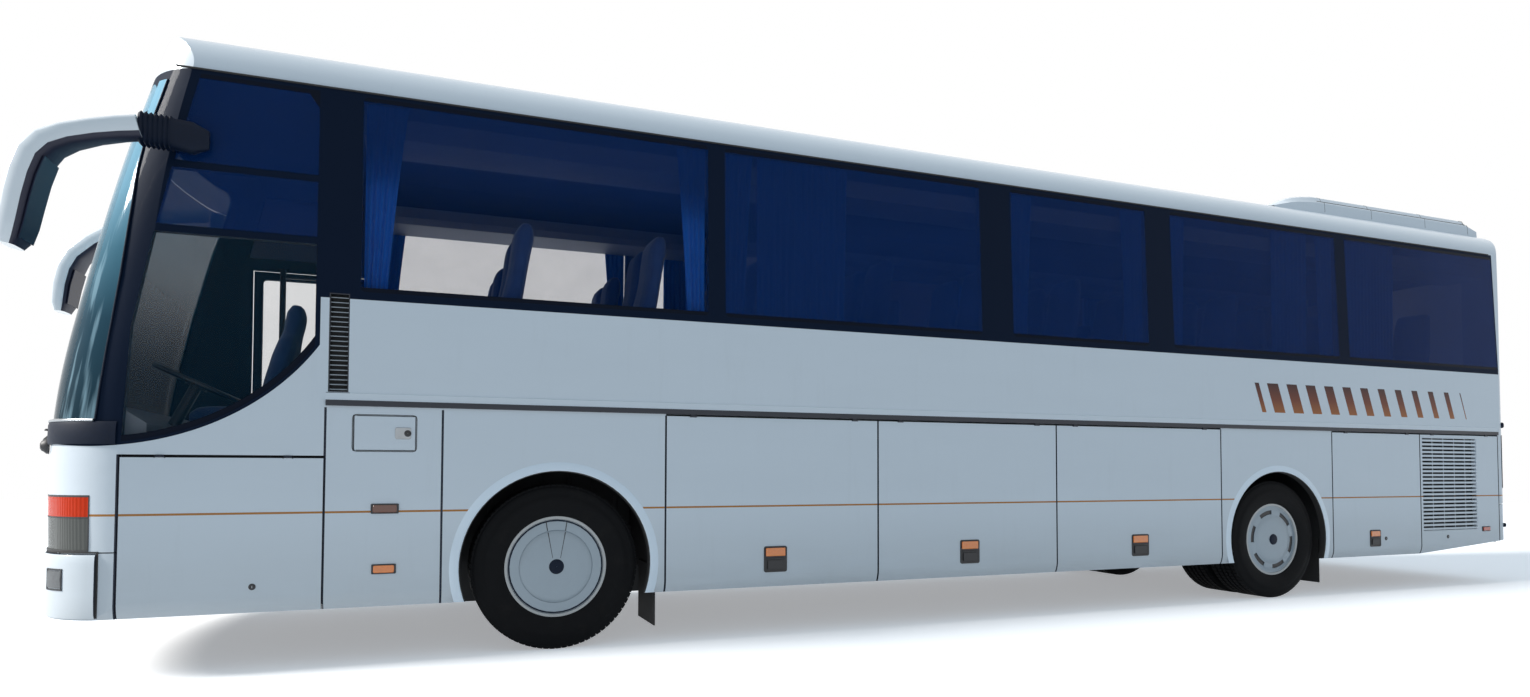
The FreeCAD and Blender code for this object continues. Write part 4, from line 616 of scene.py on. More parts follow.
lens = {
    "side": (0.42, 0.085, 0.012),
    # rear, front, foot, top and colour of each zone, the later over the earlier
    "zones": [(-5.9, 5.0, 0.0, 0.7, (0.95, 0.26, 0.03)),
              (5.0, 9.0, 0.0, 0.842, (0.095, 0.098, 0.092)),
              (3.5, 4.2, 0.7, 9.0, (0.13, 0.035, 0.012)),
              (-9.0, -5.7, 0.0, 0.7, (0.55, 0.10, 0.03)),
              (5.0, 9.0, 0.842, 9.0, (0.52, 0.030, 0.003)),
              (-9.0, -6.15, 0.0, 9.0, (0.30, 0.010, 0.012)),
              (-9.0, -6.15, 1.12, 1.26, (0.62, 0.20, 0.03))],
    "flutes": 90.0,
}


def makeLamps():
    material, shader, place = newFinish("lampLenses", roughness=0.2, specular=0.12)
    x, y, z = parts(place)
    tone = lens["side"]
    for rear, fore, foot, top, colour in lens["zones"]:
        tone = (between(x, rear, fore) * between(z, foot, top)).mix(tone, colour)
    flutes = abs((y * lens["flutes"]).fraction() - 0.5)
    feed(shader, baseColor=tone, normal=flutes.bump(0.5, 0.004))
    return material


rail = {
    "foot": 1.4765,
    # rear end and foot of the upright vent, then the edges of its pale face
    "vent": (4.15, 1.515),
    "ventFace": (4.1645, 4.2545, 1.5265, 2.0665),
}


def makeTrim():
    material, shader, place = newFinish("railTrim", roughness=0.42)
    x, _, z = parts(place)
    stir = place.noise(7.0, 5.0, 0.6)
    ventRear, ventFoot = rail["vent"]
    vent = (x > ventRear) * (z > ventFoot)
    tone = stir.mix(scaled(paint["white"], 0.94), paint["white"])
    tone = ((z < rail["foot"]) | vent).mix(tone, (0.004, 0.008, 0.018))
    rear, fore, foot, top = rail["ventFace"]
    tone = (vent * between(x, rear, fore) * between(z, foot, top)).mix(tone, (0.36, 0.39, 0.42))
    feed(shader, baseColor=tone, roughness=stir * 0.2 + 0.32)
    return material


lampLenses = makeLamps()
railTrim = makeTrim()

# every other node has the coach's paint
nodeFinishes = {
    "side_windows_left": tintedGlass, "side_windows_right": tintedGlass, "rear_window": tintedGlass,
    "front_door_glass": doorGlass, "windscreen": clearGlass, "lamps": lampLenses,
    "side_trim": railTrim, "underframe": chassisPaint, "engine_block": castMetal,
    "axles": castMetal, "knuckle_left": castMetal, "knuckle_right": castMetal,
    "deck_floor": floorCover, "cab_floor": floorCover, "dashboard": cabinTrim,
    "luggage_racks": cabinTrim, "front_door_arm": darkPlastic, "wipers": darkPlastic,
    "mirrors": darkPlastic, "steering_wheel": darkPlastic, "mudflaps": flapRubber,
    "driver_seat": seatCloth, "passenger_seats": seatCloth, "curtains": curtainCloth,
}
for name in nodes:
    wheel = "wheel" in name and name != "steering_wheel"
    finish = wheelSilver if wheel else nodeFinishes.get(name, coachPaint)
    nodes[name].data.materials.clear()
    nodes[name].data.materials.append(tyreRubber if "tyre" in name else finish)
print("finishes on the frame's nodes")


# tyres: a closed ring with a lug tread

tyre = {
    "radius": 0.5,
    "axleHeight": 0.5,
    "frontAxle": 2.995,
    "rearAxle": -3.085,
    "frontY": 1.0525,
    "rearY": (1.0525, 0.7125),
    "halfWidth": 0.1475,
    "grooveDepth": 0.012,
    "steps": 84,
    "lugGap": 0.0034,
    # (distance from the axle, share of the half width) from the bead to the tread's edge
    "wall": [(0.287, 0.70), (0.300, 0.80), (0.306, 0.86), (0.325, 0.92), (0.360, 0.98),
             (0.398, 1.0), (0.424, 0.992), (0.427, 0.975), (0.452, 0.955), (0.474, 0.915),
             (0.484, 0.880)],
    "ribs": [(-0.84, -0.54), (-0.46, -0.19), (-0.11, 0.11), (0.19, 0.46), (0.54, 0.84)],
}


def makeTyre(name, centre):
    half = tyre["halfWidth"]
    base = tyre["radius"] - tyre["grooveDepth"]
    ring = [(r, share * half) for r, share in tyre["wall"]]
    edge = [(base, share * half) for rib in reversed(tyre["ribs"]) for share in (rib[1], rib[0])]
    back = [(r, -across) for r, across in reversed(ring)]
    obj = lathe(name, centre, ring + edge + back, tyre["steps"])
    axle = Vector(centre)

    def onRib(middle, normal):
        away = Vector((middle.x - axle.x, 0, middle.z - axle.z)).length
        share = (middle.y - axle.y) / half
        return away > base - 0.004 and any(a < share < b for a, b in tyre["ribs"])

    chooseFaces(obj, onRib)
    bpy.ops.mesh.inset(thickness=tyre["lugGap"], depth=tyre["grooveDepth"], use_individual=True)
    bpy.ops.object.mode_set(mode="OBJECT")
    return obj


def tyreAt(name, x, y):
    return copyOf(firstTyre, name, (x - tyre["frontAxle"], y - tyre["frontY"], 0))


firstTyre = makeTyre("tyreMaster", (tyre["frontAxle"], tyre["frontY"], tyre["axleHeight"]))
for side, sign in signs.items():
    single = tyreAt(f"tyre_front_{side}", tyre["frontAxle"], sign * tyre["frontY"])
    finishPiece(single, f"front_wheel_{side}", tyreRubber, [f"front_tyre_{side}"])
    twins = [tyreAt("twin", tyre["rearAxle"], sign * y) for y in tyre["rearY"]]
    onePiece(twins, f"tyres_rear_{side}", f"rear_wheels_{side}", tyreRubber, "tyre",
             [f"rear_tyres_{side}"])
bpy.data.objects.remove(firstTyre)
print("tyres")


# wheel covers: a domed disc with slots, a bright ring and a plain hub cap

wheelCover = {
    "face": 1.17,
    "ring": [(0.312, -0.003), (0.310, 0.007), (0.301, 0.0105), (0.290, 0.0085), (0.2855, 0.002),
             (0.2855, -0.006), (0.312, -0.006)],
    "frontDisc": [(0.002, 0.0205), (0.047, 0.0205), (0.120, 0.0195), (0.190, 0.0170),
                  (0.214, 0.0140), (0.2195, 0.0085), (0.2215, 0.0060), (0.240, 0.0058),
                  (0.262, 0.0046), (0.2745, 0.0030), (0.2825, 0.0020), (0.2848, 0.0002),
                  (0.2848, -0.010), (0.100, -0.004), (0.002, -0.004)],
    "rearDisc": [(0.002, 0.0175), (0.050, 0.0185), (0.110, 0.0175), (0.165, 0.0150),
                 (0.196, 0.0115), (0.206, 0.0065), (0.214, 0.0055), (0.250, 0.0050),
                 (0.258, 0.0020), (0.266, -0.0020), (0.2848, -0.0030), (0.2848, -0.012),
                 (0.100, -0.004), (0.002, -0.004)],
    "cap": [(0.002, 0.0285), (0.026, 0.0280), (0.038, 0.0262), (0.044, 0.0225), (0.046, 0.0190),
            (0.046, 0.012), (0.002, 0.012)],
    "groove": [(0.2755, 0.0015), (0.2755, 0.0037), (0.2835, 0.0031), (0.2835, 0.0005)],
    # inner radius, outer radius, faces in a cycle and how many of them are sunk
    "frontSlots": (0.2745, 0.2825, 3, 2),
    "rearSlots": (0.214, 0.250, 12, 7),
    "frontSteps": 108,
    "rearSteps": 72,
    "slotDepth": 0.006,
    "lineLeans": (-0.052, 0.052),
    "lineHalf": 0.0026,
    # foot and top, each as share of the lean, distance out, height and share of the width; depth
    "lines": [((0.45, 0.016, 0.552, 0.5), (1.0, 0.0115, 0.708, 1.0), 0.0055),
              ((1.04, 0.0035, 0.716, 1.0), (1.2, 0.0005, 0.770, 1.0), 0.0050)],
}


def atFace(profile):
    return [(radius, wheelCover["face"] + out) for radius, out in profile]


def slotted(obj, axle, steps, low, high, cycle, sunk):
    # sinks the faces of one ring of the disc, so many of each cycle of them
    face = wheelCover["face"]

    def onSlot(middle, normal):
        away = Vector((middle.x - axle.x, 0, middle.z - axle.z))
        place = int(math.atan2(away.x, away.z) % math.tau / math.tau * steps)
        return low < away.length < high and normal.y > 0.4 and place % cycle < sunk

    def inSlot(middle, normal):
        away = Vector((middle.x - axle.x, 0, middle.z - axle.z)).length
        return low - 0.001 < away < high + 0.001 and face - 0.009 < middle.y < face + 0.0005

    chooseFaces(obj, onSlot)
    bpy.ops.mesh.extrude_region_shrink_fatten(
        TRANSFORM_OT_shrink_fatten={"value": -wheelCover["slotDepth"]})
    bpy.ops.object.mode_set(mode="OBJECT")
    paintFaces(obj, 1, inSlot)


def coverLine(x, lean, foot, top, depth):
    # one length of a thin slanted line on the cover
    outline = []
    for (share, out, z, width), turns in ((foot, (-1, 1)), (top, (1, -1))):
        half = wheelCover["lineHalf"] * width
        outline += [(x + lean * share + turn * half, wheelCover["face"] + out, z) for turn in turns]
    return plate("line", outline, (0, depth, 0))


def wheelSet(end, x, body):
    axle = Vector((x, 0, tyre["axleHeight"]))
    steps = wheelCover[f"{end}Steps"]
    cover = lathe("cover", axle, atFace(wheelCover[f"{end}Disc"]), steps)
    cover.data.materials.append(wheelSilver)
    cover.data.materials.append(darkPlastic)
    slotted(cover, axle, steps, *wheelCover[f"{end}Slots"])
    made = [("cover", [cover], None),
            ("ring", [lathe("ring", axle, atFace(wheelCover["ring"]))], ringSilver),
            ("cap", [lathe("cap", axle, atFace(wheelCover["cap"]), 48)], cowlBlack)]
    if end == "front":
        made.append(("groove", [lathe("groove", axle, atFace(wheelCover["groove"]))], cowlBlack))
        lines = [coverLine(x, lean, *line) for lean in wheelCover["lineLeans"]
                 for line in wheelCover["lines"]]
        made.append(("lines", lines, darkPlastic))
    for what, pieces, finish in made:
        bothSides(pieces, f"wheel_{what}_{end}", body, finish, "wheel_paint")


wheelSet("front", tyre["frontAxle"], "front_wheel_{}")
wheelSet("rear", tyre["rearAxle"], "rear_wheels_{}")
print("wheels")


# mirrors: ribbed boots on the pillars and curved housings that hang forward of the screen

mirror = {
    # (X, Z) of the housing's middle line, its thickness, and where it starts and ends across
    "left": [((5.13, 2.822), 0.120, 1.335, 1.455), ((5.21, 2.800), 0.118, 1.345, 1.475),
             ((5.31, 2.766), 0.114, 1.350, 1.500), ((5.41, 2.722), 0.116, 1.350, 1.530),
             ((5.485, 2.672), 0.124, 1.345, 1.555), ((5.535, 2.600), 0.130, 1.340, 1.572),
             ((5.563, 2.500), 0.128, 1.338, 1.580), ((5.583, 2.390), 0.124, 1.338, 1.582),
             ((5.600, 2.270), 0.116, 1.342, 1.580), ((5.612, 2.190), 0.100, 1.350, 1.572),
             ((5.618, 2.155), 0.066, 1.375, 1.550)],
    "right": [((5.30, 3.035), 0.10, 1.16, 1.25), ((5.50, 3.015), 0.10, 1.17, 1.27),
              ((5.715, 2.955), 0.105, 1.18, 1.31), ((5.90, 2.870), 0.115, 1.19, 1.37),
              ((6.04, 2.770), 0.125, 1.20, 1.43), ((6.145, 2.665), 0.13, 1.20, 1.465),
              ((6.195, 2.560), 0.13, 1.20, 1.49), ((6.218, 2.440), 0.125, 1.20, 1.49),
              ((6.230, 2.300), 0.11, 1.21, 1.48), ((6.234, 2.245), 0.07, 1.24, 1.45)],
    # how far behind its middle line a housing is painted dark like its glass's reflection, as a
    # share of its thickness
    "frame": 0.25,
    "glassTop": 2.63,
    "glassInset": 0.022,
    "glassFaces": (-0.004, 0.0015),
    # rear and front X, height, tallness and width of each boot
    "boot": {"left": (4.90, 5.135, 2.835, 0.175, 0.115), "right": (5.06, 5.305, 3.035, 0.14, 0.10)},
    "ribs": 7,
}


def housing(side):
    line = mirror[side]
    middles = [Vector((x, 0, z)) for (x, z), *_ in line]
    rings = []
    for i, ((x, z), thick, inner, outer) in enumerate(line):
        middle = (x, signs[side] * (inner + outer) / 2, z)
        rings.append(ringAt(middle, alongAt(middles, i), thick, outer - inner))
    obj = loft(f"mirror_housing_{side}", rings)

    def backFace(middle, normal):
        spot = Vector((middle.x, 0, middle.z))
        closest = min(range(len(middles)), key=lambda i: (middles[i] - spot).length)
        along = alongAt(middles, closest)
        lift = (spot - middles[closest]).dot(Vector((-along.z, 0, along.x)))
        return lift < -mirror["frame"] * line[closest][1]

    finishPiece(obj, "coach_body", [mirrorPaint, mirrorRearDarkReflection], ["mirrors"], 50)
    paintFaces(obj, 1, backFace)


def boot(side):
    # the folded black boot between pillar and housing
    rear, fore, z, tall, wide = mirror["boot"][side]
    # X, place across, height, share of the tallness and width of each station
    stations = [(rear - 0.05, 1.262, z + 0.005, 0.55, 0.03),
                (rear + 0.02, 1.275, z + 0.003, 0.95, 0.075)]
    steps = mirror["ribs"] * 2
    for i in range(steps + 1):
        t = i / steps
        swell = 1.0 if i % 2 else 0.88
        stations.append((rear + (fore - rear) * (0.42 + 0.58 * t), 1.255 + wide / 2 + 0.065 * t,
                         z - 0.012 * t, swell, wide * swell * 1.1))
    rings = [ringAt((x, signs[side] * y, height), (1, 0, 0), tall * share, width)
             for x, y, height, share, width in stations]
    finishPiece(loft(f"mirror_boot_{side}", rings), "coach_body", cowlBlack,
                smooth=35)


def mirrorGlass(side):
    # a thin pane along the housing's rear face, dark navy as a painted reflection
    line = [entry for entry in mirror[side] if entry[0][1] < mirror["glassTop"]][:-1]
    middles = [Vector((x, 0, z)) for (x, z), *_ in line]
    low, high = mirror["glassFaces"]
    inset = mirror["glassInset"]
    rings = []
    for i, (_, thick, inner, outer) in enumerate(line):
        along = alongAt(middles, i)
        rear = Vector((along.z, 0, -along.x))
        ring = []
        for out, place in ((low, inner + inset), (low, outer - inset), (high, outer - inset),
                           (high, inner + inset)):
            ring.append(middles[i] + rear * (thick / 2 + out) + Vector((0, signs[side] * place, 0)))
        rings.append(ring)
    finishPiece(loft(f"mirror_glass_{side}", rings), "coach_body", mirrorGlassDarkReflection)


for side in signs:
    housing(side)
    boot(side)
    mirrorGlass(side)
print("mirrors")


# seats: padded cushions and backs, filled by a short cloth simulation, then copied

seat = {
    "rows": 11,
    "pitch": 0.86,
    "floor": 1.5,
    "middle": 3.45,
    "places": (0.475, 0.905),
    "width": 0.385,
    # (X, Z, thickness, share of the width) of each station
    "cushion": [(3.250, 1.862, 0.095, 0.90), (3.290, 1.862, 0.125, 0.97),
                (3.420, 1.862, 0.130, 1.0), (3.570, 1.862, 0.135, 1.0),
                (3.670, 1.862, 0.125, 0.98), (3.708, 1.862, 0.085, 0.92)],
    "back": [(3.300, 1.905, 0.085, 0.92), (3.292, 1.95, 0.110, 1.0), (3.268, 2.08, 0.108, 1.0),
             (3.240, 2.22, 0.092, 1.0), (3.214, 2.36, 0.085, 0.98), (3.198, 2.47, 0.092, 0.92),
             (3.184, 2.56, 0.098, 0.86), (3.174, 2.62, 0.082, 0.80), (3.170, 2.645, 0.05, 0.70)],
    "along": {"cushion": (1, 0, 0), "back": (-0.18, 0, 1)},
    "voxel": 0.012,
    "pressure": 4.0,
    "frames": 20,
    "cap": 0.012,
    "faces": 900,
    "fill": 0.8,
    # feet, posts, bar and arm rest: half length, (Y, height) of two corners and bevel
    "frame": [(0.11, (0.42, 0.003), (0.50, 0.05), 0.008),
              (0.035, (0.43, 0.04), (0.49, 0.29), 0.01),
              (0.11, (0.88, 0.003), (0.96, 0.05), 0.008),
              (0.035, (0.89, 0.04), (0.95, 0.29), 0.01),
              (0.19, (0.29, 0.27), (1.09, 0.296), 0.008),
              (0.14, (0.262, 0.60), (0.278, 0.64), 0.006)],
}


def fill(obj, faces):
    # remeshes the form and lets air pressure round it, no point moving further than the cap
    addModifier(obj, "REMESH", mode="VOXEL", voxel_size=seat["voxel"])
    rest = [v.co.copy() for v in obj.data.vertices]
    pick(obj)
    cloth = obj.modifiers.new("cloth", "CLOTH")
    cloth.settings.use_pressure = True
    cloth.settings.uniform_pressure_force = seat["pressure"]
    cloth.settings.effector_weights.gravity = 0
    for step in range(seat["frames"]):
        bpy.context.scene.frame_set(step + 1)
    bpy.ops.object.modifier_apply(modifier=cloth.name)
    bpy.context.scene.frame_set(1)
    for vertex, start in zip(obj.data.vertices, rest):
        moved = vertex.co - start
        if moved.length > seat["cap"]:
            vertex.co = start + moved.normalized() * seat["cap"]
    addModifier(obj, "SMOOTH", factor=0.5, iterations=3)
    addModifier(obj, "DECIMATE", ratio=min(1.0, faces / max(1, len(obj.data.polygons))))
    return obj


def seatForm(name, what, sizes, y):
    rings = [ringAt((x, y, z), seat["along"][what], thick, sizes["width"] * share, square=0.5)
             for x, z, thick, share in sizes[what]]
    return fill(loft(name, rings), sizes["faces"])


def seatRows(source, what, finish, stands=(), smooth=40):
    # copies of the first block's piece in every row, on both sides of the aisle
    placed = []
    for row in range(seat["rows"]):
        for side in signs:
            name = f"seat_{what}_{side}_{row + 1}"
            twin = copyOf(source, name, (-row * seat["pitch"], 0, 0), side == "right")
            placed.append(finishPiece(twin, "coach_body", finish, stands, smooth))
    bpy.data.objects.remove(source)
    return placed


for what in ("cushion", "back"):
    inner, outer = seat["places"]
    first = seatForm(what, what, seat, inner)
    double = joined("double", [first, copyOf(first, "second", (0, outer - inner, 0))])
    placed = seatRows(double, f"{what}s", seatCloth, ["passenger_seats"], 60)

frameParts = []
for half, (inner, low), (outer, high), bevel in seat["frame"]:
    frameParts += blocks(((seat["middle"] - half, inner, seat["floor"] + low),
                          (seat["middle"] + half, outer, seat["floor"] + high), bevel))
seatRows(joined("seatFrame", frameParts), "frame", darkPlastic)
print("passenger seats")


# the driver's seat: a wider cushion and a tall back on a pedestal

driver = {
    "middle": 0.52,
    "width": 0.46,
    "faces": 2400,
    "cushion": [(4.575, 1.385, 0.09, 0.92), (4.62, 1.385, 0.12, 1.0), (4.76, 1.385, 0.125, 1.0),
                (4.90, 1.385, 0.13, 1.0), (5.00, 1.385, 0.115, 0.96), (5.030, 1.385, 0.08, 0.88)],
    "back": [(4.625, 1.43, 0.09, 0.90), (4.612, 1.49, 0.115, 1.0), (4.585, 1.62, 0.11, 1.0),
             (4.555, 1.76, 0.10, 0.98), (4.528, 1.87, 0.09, 0.86), (4.512, 1.93, 0.08, 0.62),
             (4.502, 1.985, 0.085, 0.55), (4.490, 2.06, 0.085, 0.55), (4.482, 2.105, 0.06, 0.46)],
    "pedestal": [((4.60, 0.34, 0.963), (4.98, 0.70, 1.01), 0.012),
                 ((4.65, 0.38, 1.00), (4.93, 0.66, 1.20), 0.02, 3),
                 ((4.59, 0.31, 1.19), (5.00, 0.73, 1.325), 0.02, 3)],
}
for what in ("cushion", "back"):
    form = seatForm(f"driver_{what}", what, driver, driver["middle"])
    finishPiece(form, "coach_body", seatCloth, ["driver_seat"], 60)
onePiece(blocks(*driver["pedestal"]), "driver_pedestal", "coach_body", darkPlastic, "black_plastic")
print("driver's seat")


# curtains: gathered cloth at the panes' edges, some of it drawn across

curtain = {
    "spans": [(3.868, 4.090, 0.55), (2.250, 2.062, 0.6), (1.729, 1.915, 0.7), (1.018, 1.693, 0.97),
              (-0.563, -0.372, 0.75), (-1.424, -1.648, 0.75), (-2.103, -1.940, 0.8),
              (-3.539, -3.118, 0.96), (-3.667, -3.862, 0.8), (-4.698, -4.030, 0.97)],
    "top": 3.185,
    "bottom": 2.115,
    "middle": 1.1885,
    "depth": 0.0105,
    "fold": 0.046,
    "perFold": 8,
    "drops": 6,
    "thickness": 0.0016,
}


def makeCurtain(index, start, end, gather):
    # the foot is drawn towards end, as gathered cloth hangs
    low, high = min(start, end), max(start, end)
    folds = round((high - low) / curtain["fold"])
    count = folds * curtain["perFold"]
    points = []
    for i in range(count + 1):
        share = i / count
        turn = math.tau * folds * share + 0.7 * math.sin(share * 9.0 + index)
        depth = curtain["depth"] * (0.8 + 0.2 * math.sin(share * 17.0 + index * 2.0))
        across = curtain["middle"] + depth * math.sin(turn)
        points.append(Vector((low + (high - low) * share, across, curtain["top"])))
    flatWidth = sum((b - a).length for a, b in zip(points, points[1:]))
    obj = chain(f"curtain_{index}", points)
    bpy.ops.object.mode_set(mode="EDIT")
    bpy.ops.mesh.select_all(action="SELECT")
    drop = (curtain["bottom"] - curtain["top"]) / curtain["drops"]
    pull = gather ** (1 / curtain["drops"])
    for step in range(curtain["drops"]):
        bpy.ops.mesh.extrude_region_move(TRANSFORM_OT_translate={"value": (0, 0, drop)})
        bpy.ops.transform.resize(value=(pull, 1, 1), center_override=(end, 0, 0))
    bpy.ops.object.mode_set(mode="OBJECT")
    return obj, flatWidth * (1 + gather) / 2


for index, (start, end, gather) in enumerate(curtain["spans"]):
    first, flatWidth = makeCurtain(index + 1, start, end, gather)
    addModifier(first, "SOLIDIFY", thickness=curtain["thickness"], offset=0)
    for side in signs:
        twin = copyOf(first, f"curtain_{side}_{index + 1}", mirror=side == "right")
        finishPiece(twin, "coach_body", curtainCloth, ["curtains"], 60)
    bpy.data.objects.remove(first)
print("curtains")


# dressing: pieces that lie on the body's outer surface

hull = {
    "nose": 5.715,
    "side": 1.25,
    "bulge": 4.0,
    "corner": 0.43,
    "rakeStart": 1.30,
    "rakeMid": (2.36, 0.195),
    "rakeTop": (3.24, 0.425),
}
hull["cornerY"] = hull["side"] + 0.002 - hull["corner"]
hull["cornerX"] = hull["nose"] - hull["bulge"] + math.sqrt(
    (hull["bulge"] - hull["corner"]) ** 2 - hull["cornerY"] ** 2)
hull["lean"] = math.degrees(math.atan2(
    hull["cornerY"], hull["cornerX"] - hull["nose"] + hull["bulge"]))


def setback(z):
    # how far the raked front lies behind the nose at a height
    rise = max(0.0, z - hull["rakeStart"])
    mid, top = hull["rakeMid"][0] - hull["rakeStart"], hull["rakeTop"][0] - hull["rakeStart"]
    a = (hull["rakeTop"][1] / top - hull["rakeMid"][1] / mid) / (top - mid)
    return a * rise ** 2 + (hull["rakeMid"][1] / mid - a * mid) * rise


def nosePoint(turn, out=0.0, z=1.0):
    # turn is the direction that the surface faces, in degrees from straight ahead; past 90 the
    # rest is the distance back along the straight side, in centimetres
    sign = -1 if turn < 0 else 1
    facing = math.radians(min(abs(turn), 90))
    if abs(turn) <= hull["lean"]:
        x = hull["nose"] - hull["bulge"] + (hull["bulge"] + out) * math.cos(facing)
        y = (hull["bulge"] + out) * math.sin(facing)
    else:
        x = hull["cornerX"] + (hull["corner"] + out) * math.cos(facing)
        y = hull["cornerY"] + (hull["corner"] + out) * math.sin(facing)
    back = max(0.0, abs(turn) - 90) / 100
    return Vector((x - back - setback(z), sign * y, z))


def turnsBetween(first, last, step=6.0):
    # even turns, with the corner's start and end always among them
    low, high = min(first, last), max(first, last)
    corners = (-90.0, -hull["lean"], hull["lean"], 90.0)
    marks = [low] + [turn for turn in corners if low < turn < high] + [high]
    turns = []
    for a, b in zip(marks, marks[1:]):
        count = max(1, round((b - a) / step)) if b <= 90 and a >= -90 else 1
        turns += [a + (b - a) * i / count for i in range(count)]
    return turns + [high]


def noseStrip(name, first, last, section):
    # the section, as (height, distance out), swept round the front between two turns
    rings = [[nosePoint(turn, out, z) for z, out in section] for turn in turnsBetween(first, last)]
    return loft(name, rings)


def flatStrips(rows, sides=(1, -1)):
    # a strip for each row of first turn, last turn, foot, top, inner face and outer face
    strips = []
    for sign in sides:
        for first, last, foot, top, inner, outer in rows:
            section = [(foot, inner), (foot, outer), (top, outer), (top, inner)]
            strips.append(noseStrip("strip", sign * first, sign * last, section))
    return strips


def wire(points, radius, closed=False):
    # a round bar along points: a chain made a curve, given a thickness and made a mesh again
    obj = edit(ringChain("wire", points), weld) if closed else chain("wire", points)
    pick(obj)
    bpy.ops.object.convert(target="CURVE")
    obj = bpy.context.active_object
    obj.data.bevel_depth = radius
    obj.data.bevel_resolution = 3
    obj.data.use_fill_caps = True
    bpy.ops.object.convert(target="MESH")
    return bpy.context.active_object


def circle(x, y, z, radius, count=36):
    turns = [math.tau * i / count for i in range(count)]
    return [(x + radius * math.cos(turn), y + radius * math.sin(turn), z) for turn in turns]


def roundedOutline(x0, x1, z0, z1, y, radius, steps=5):
    # a rounded rectangle on the side of the bus
    outline = []
    for cx, cz, start in ((x1 - radius, z1 - radius, 0), (x0 + radius, z1 - radius, 90),
                          (x0 + radius, z0 + radius, 180), (x1 - radius, z0 + radius, 270)):
        for i in range(steps + 1):
            angle = math.radians(start + 90 * i / steps)
            x, z = cx + radius * math.cos(angle), cz + radius * math.sin(angle)
            outline.append(Vector((x, y, z)))
    return outline


def cushionPlate(x0, x1, z0, z1, y, depth, radius, bevel=0.0015):
    # a rounded plate on the side, with its outer rim bevelled
    obj = plate("plate", roundedOutline(x0, x1, z0, z1, y, radius), (0, depth, 0))
    chooseFaces(obj, lambda middle, normal: normal.y > 0.9)
    bpy.ops.mesh.inset(thickness=bevel, depth=0)
    bpy.ops.transform.translate(value=(0, bevel, 0))
    bpy.ops.object.mode_set(mode="OBJECT")
    return obj


# wheel arches: a flared lip outside, a dark inner band, and the wheelhouse's inner wall with a
# splash board hung low, a dark sheet that stands for the shade under the coach

arch = {
    "height": 0.515,
    # (distance from the arch's centre, place across the bus)
    "lip": [(0.5685, 1.238), (0.5685, 1.2535), (0.573, 1.2572), (0.596, 1.2568), (0.618, 1.2512),
            (0.622, 1.2495), (0.600, 1.238)],
    "band": [(0.5700, 1.200), (0.5625, 1.200), (0.5625, 1.2485), (0.5675, 1.2515),
             (0.5700, 1.2500)],
    "reach": math.radians(112),
    "steps": 44,
    "foot": 0.324,
    "wallY": {"front": 0.520, "rear": 0.522},
    "wallDepth": 0.008,
    # half length, foot and top of the wall; half length and top of its notch for the axle
    "wall": (0.596, 0.49, 1.126),
    "notch": (0.20, 0.74),
    "ribs": (-0.50, -0.34, -0.18, 0.0, 0.18, 0.34, 0.50),
    "ribFoot": 0.78,
    # half width of a rib, its faces out from the wall and its bevel
    "rib": (0.015, 0.006, 0.018, 0.004),
    # rear and front end of the splash board, hung low as painted shade in the wheelhouse, then (Y,
    # height) of its corners and its lip's
    "board": {"front": (-0.690, 0.600), "rear": (-0.600, 0.560)},
    "shadeBoardFace": ((0.500, 0.236), (0.512, 0.700)),
    "boardLip": ((0.500, 0.222), (0.512, 0.240)),
    "lipInset": 0.08,
}


def arcSweep(name, centre, profile):
    # the closed profile spun about an axle along Y, the same angle either side of the top
    centre, reach = Vector(centre), arch["reach"]
    points = [centre + Vector((-radius * math.sin(reach), across, radius * math.cos(reach)))
              for radius, across in profile]
    spin = {"steps": arch["steps"], "angle": -2 * reach, "center": centre, "axis": (0, 1, 0)}
    return edit(ringChain(name, points), weld, (bpy.ops.mesh.spin, spin))


def levelFoot(obj, height):
    # cuts the piece off at a height and closes it there
    cut = {"plane_co": (0, 0, height), "plane_no": (0, 0, 1), "clear_inner": True, "use_fill": True}
    return edit(obj, (bpy.ops.mesh.bisect, cut), fillHoles, faceOut)


for end, axleX in (("front", tyre["frontAxle"]), ("rear", tyre["rearAxle"])):
    for what, finish, slot in (("lip", lipPaint, "body_paint"),
                               ("band", flapRubber, "mudflap_rubber")):
        sweep = levelFoot(arcSweep(what, (axleX, 0, arch["height"]), arch[what]), arch["foot"])
        bothSides([sweep], f"arch_{what}_{end}", "coach_body", finish, slot)
    y = arch["wallY"][end]
    half, low, high = arch["wall"]
    notch, notchTop = arch["notch"]
    outline = [(-half, low), (-notch, low), (-notch, notchTop), (notch, notchTop), (notch, low),
               (half, low), (half, high), (-half, high)]
    walls = [plate("wall", [(axleX + x, y, z) for x, z in outline], (0, arch["wallDepth"], 0))]
    half, near, far, bevel = arch["rib"]
    walls += blocks(*[((axleX + off - half, y + near, arch["ribFoot"]),
                       (axleX + off + half, y + far, high), bevel) for off in arch["ribs"]])
    rear, fore = (axleX + place for place in arch["board"][end])
    for inset, (first, last) in ((0, arch["shadeBoardFace"]), (arch["lipInset"], arch["boardLip"])):
        walls += blocks(((rear + inset, *first), (fore - inset, *last), 0.003))
    walls += blocks(((axleX - 0.614, 1.120, 0.335), (axleX - 0.606, 1.205, 0.520), 0.002, 1))
    bothSides(walls, f"wheelhouse_wall_{end}", "coach_body", chassisPaint, "chassis_paint")
print("wheel arches")


# front: bumper skin, lamp bezels, fog lamps, cowl ledge, dark gaps and the windscreen's corners

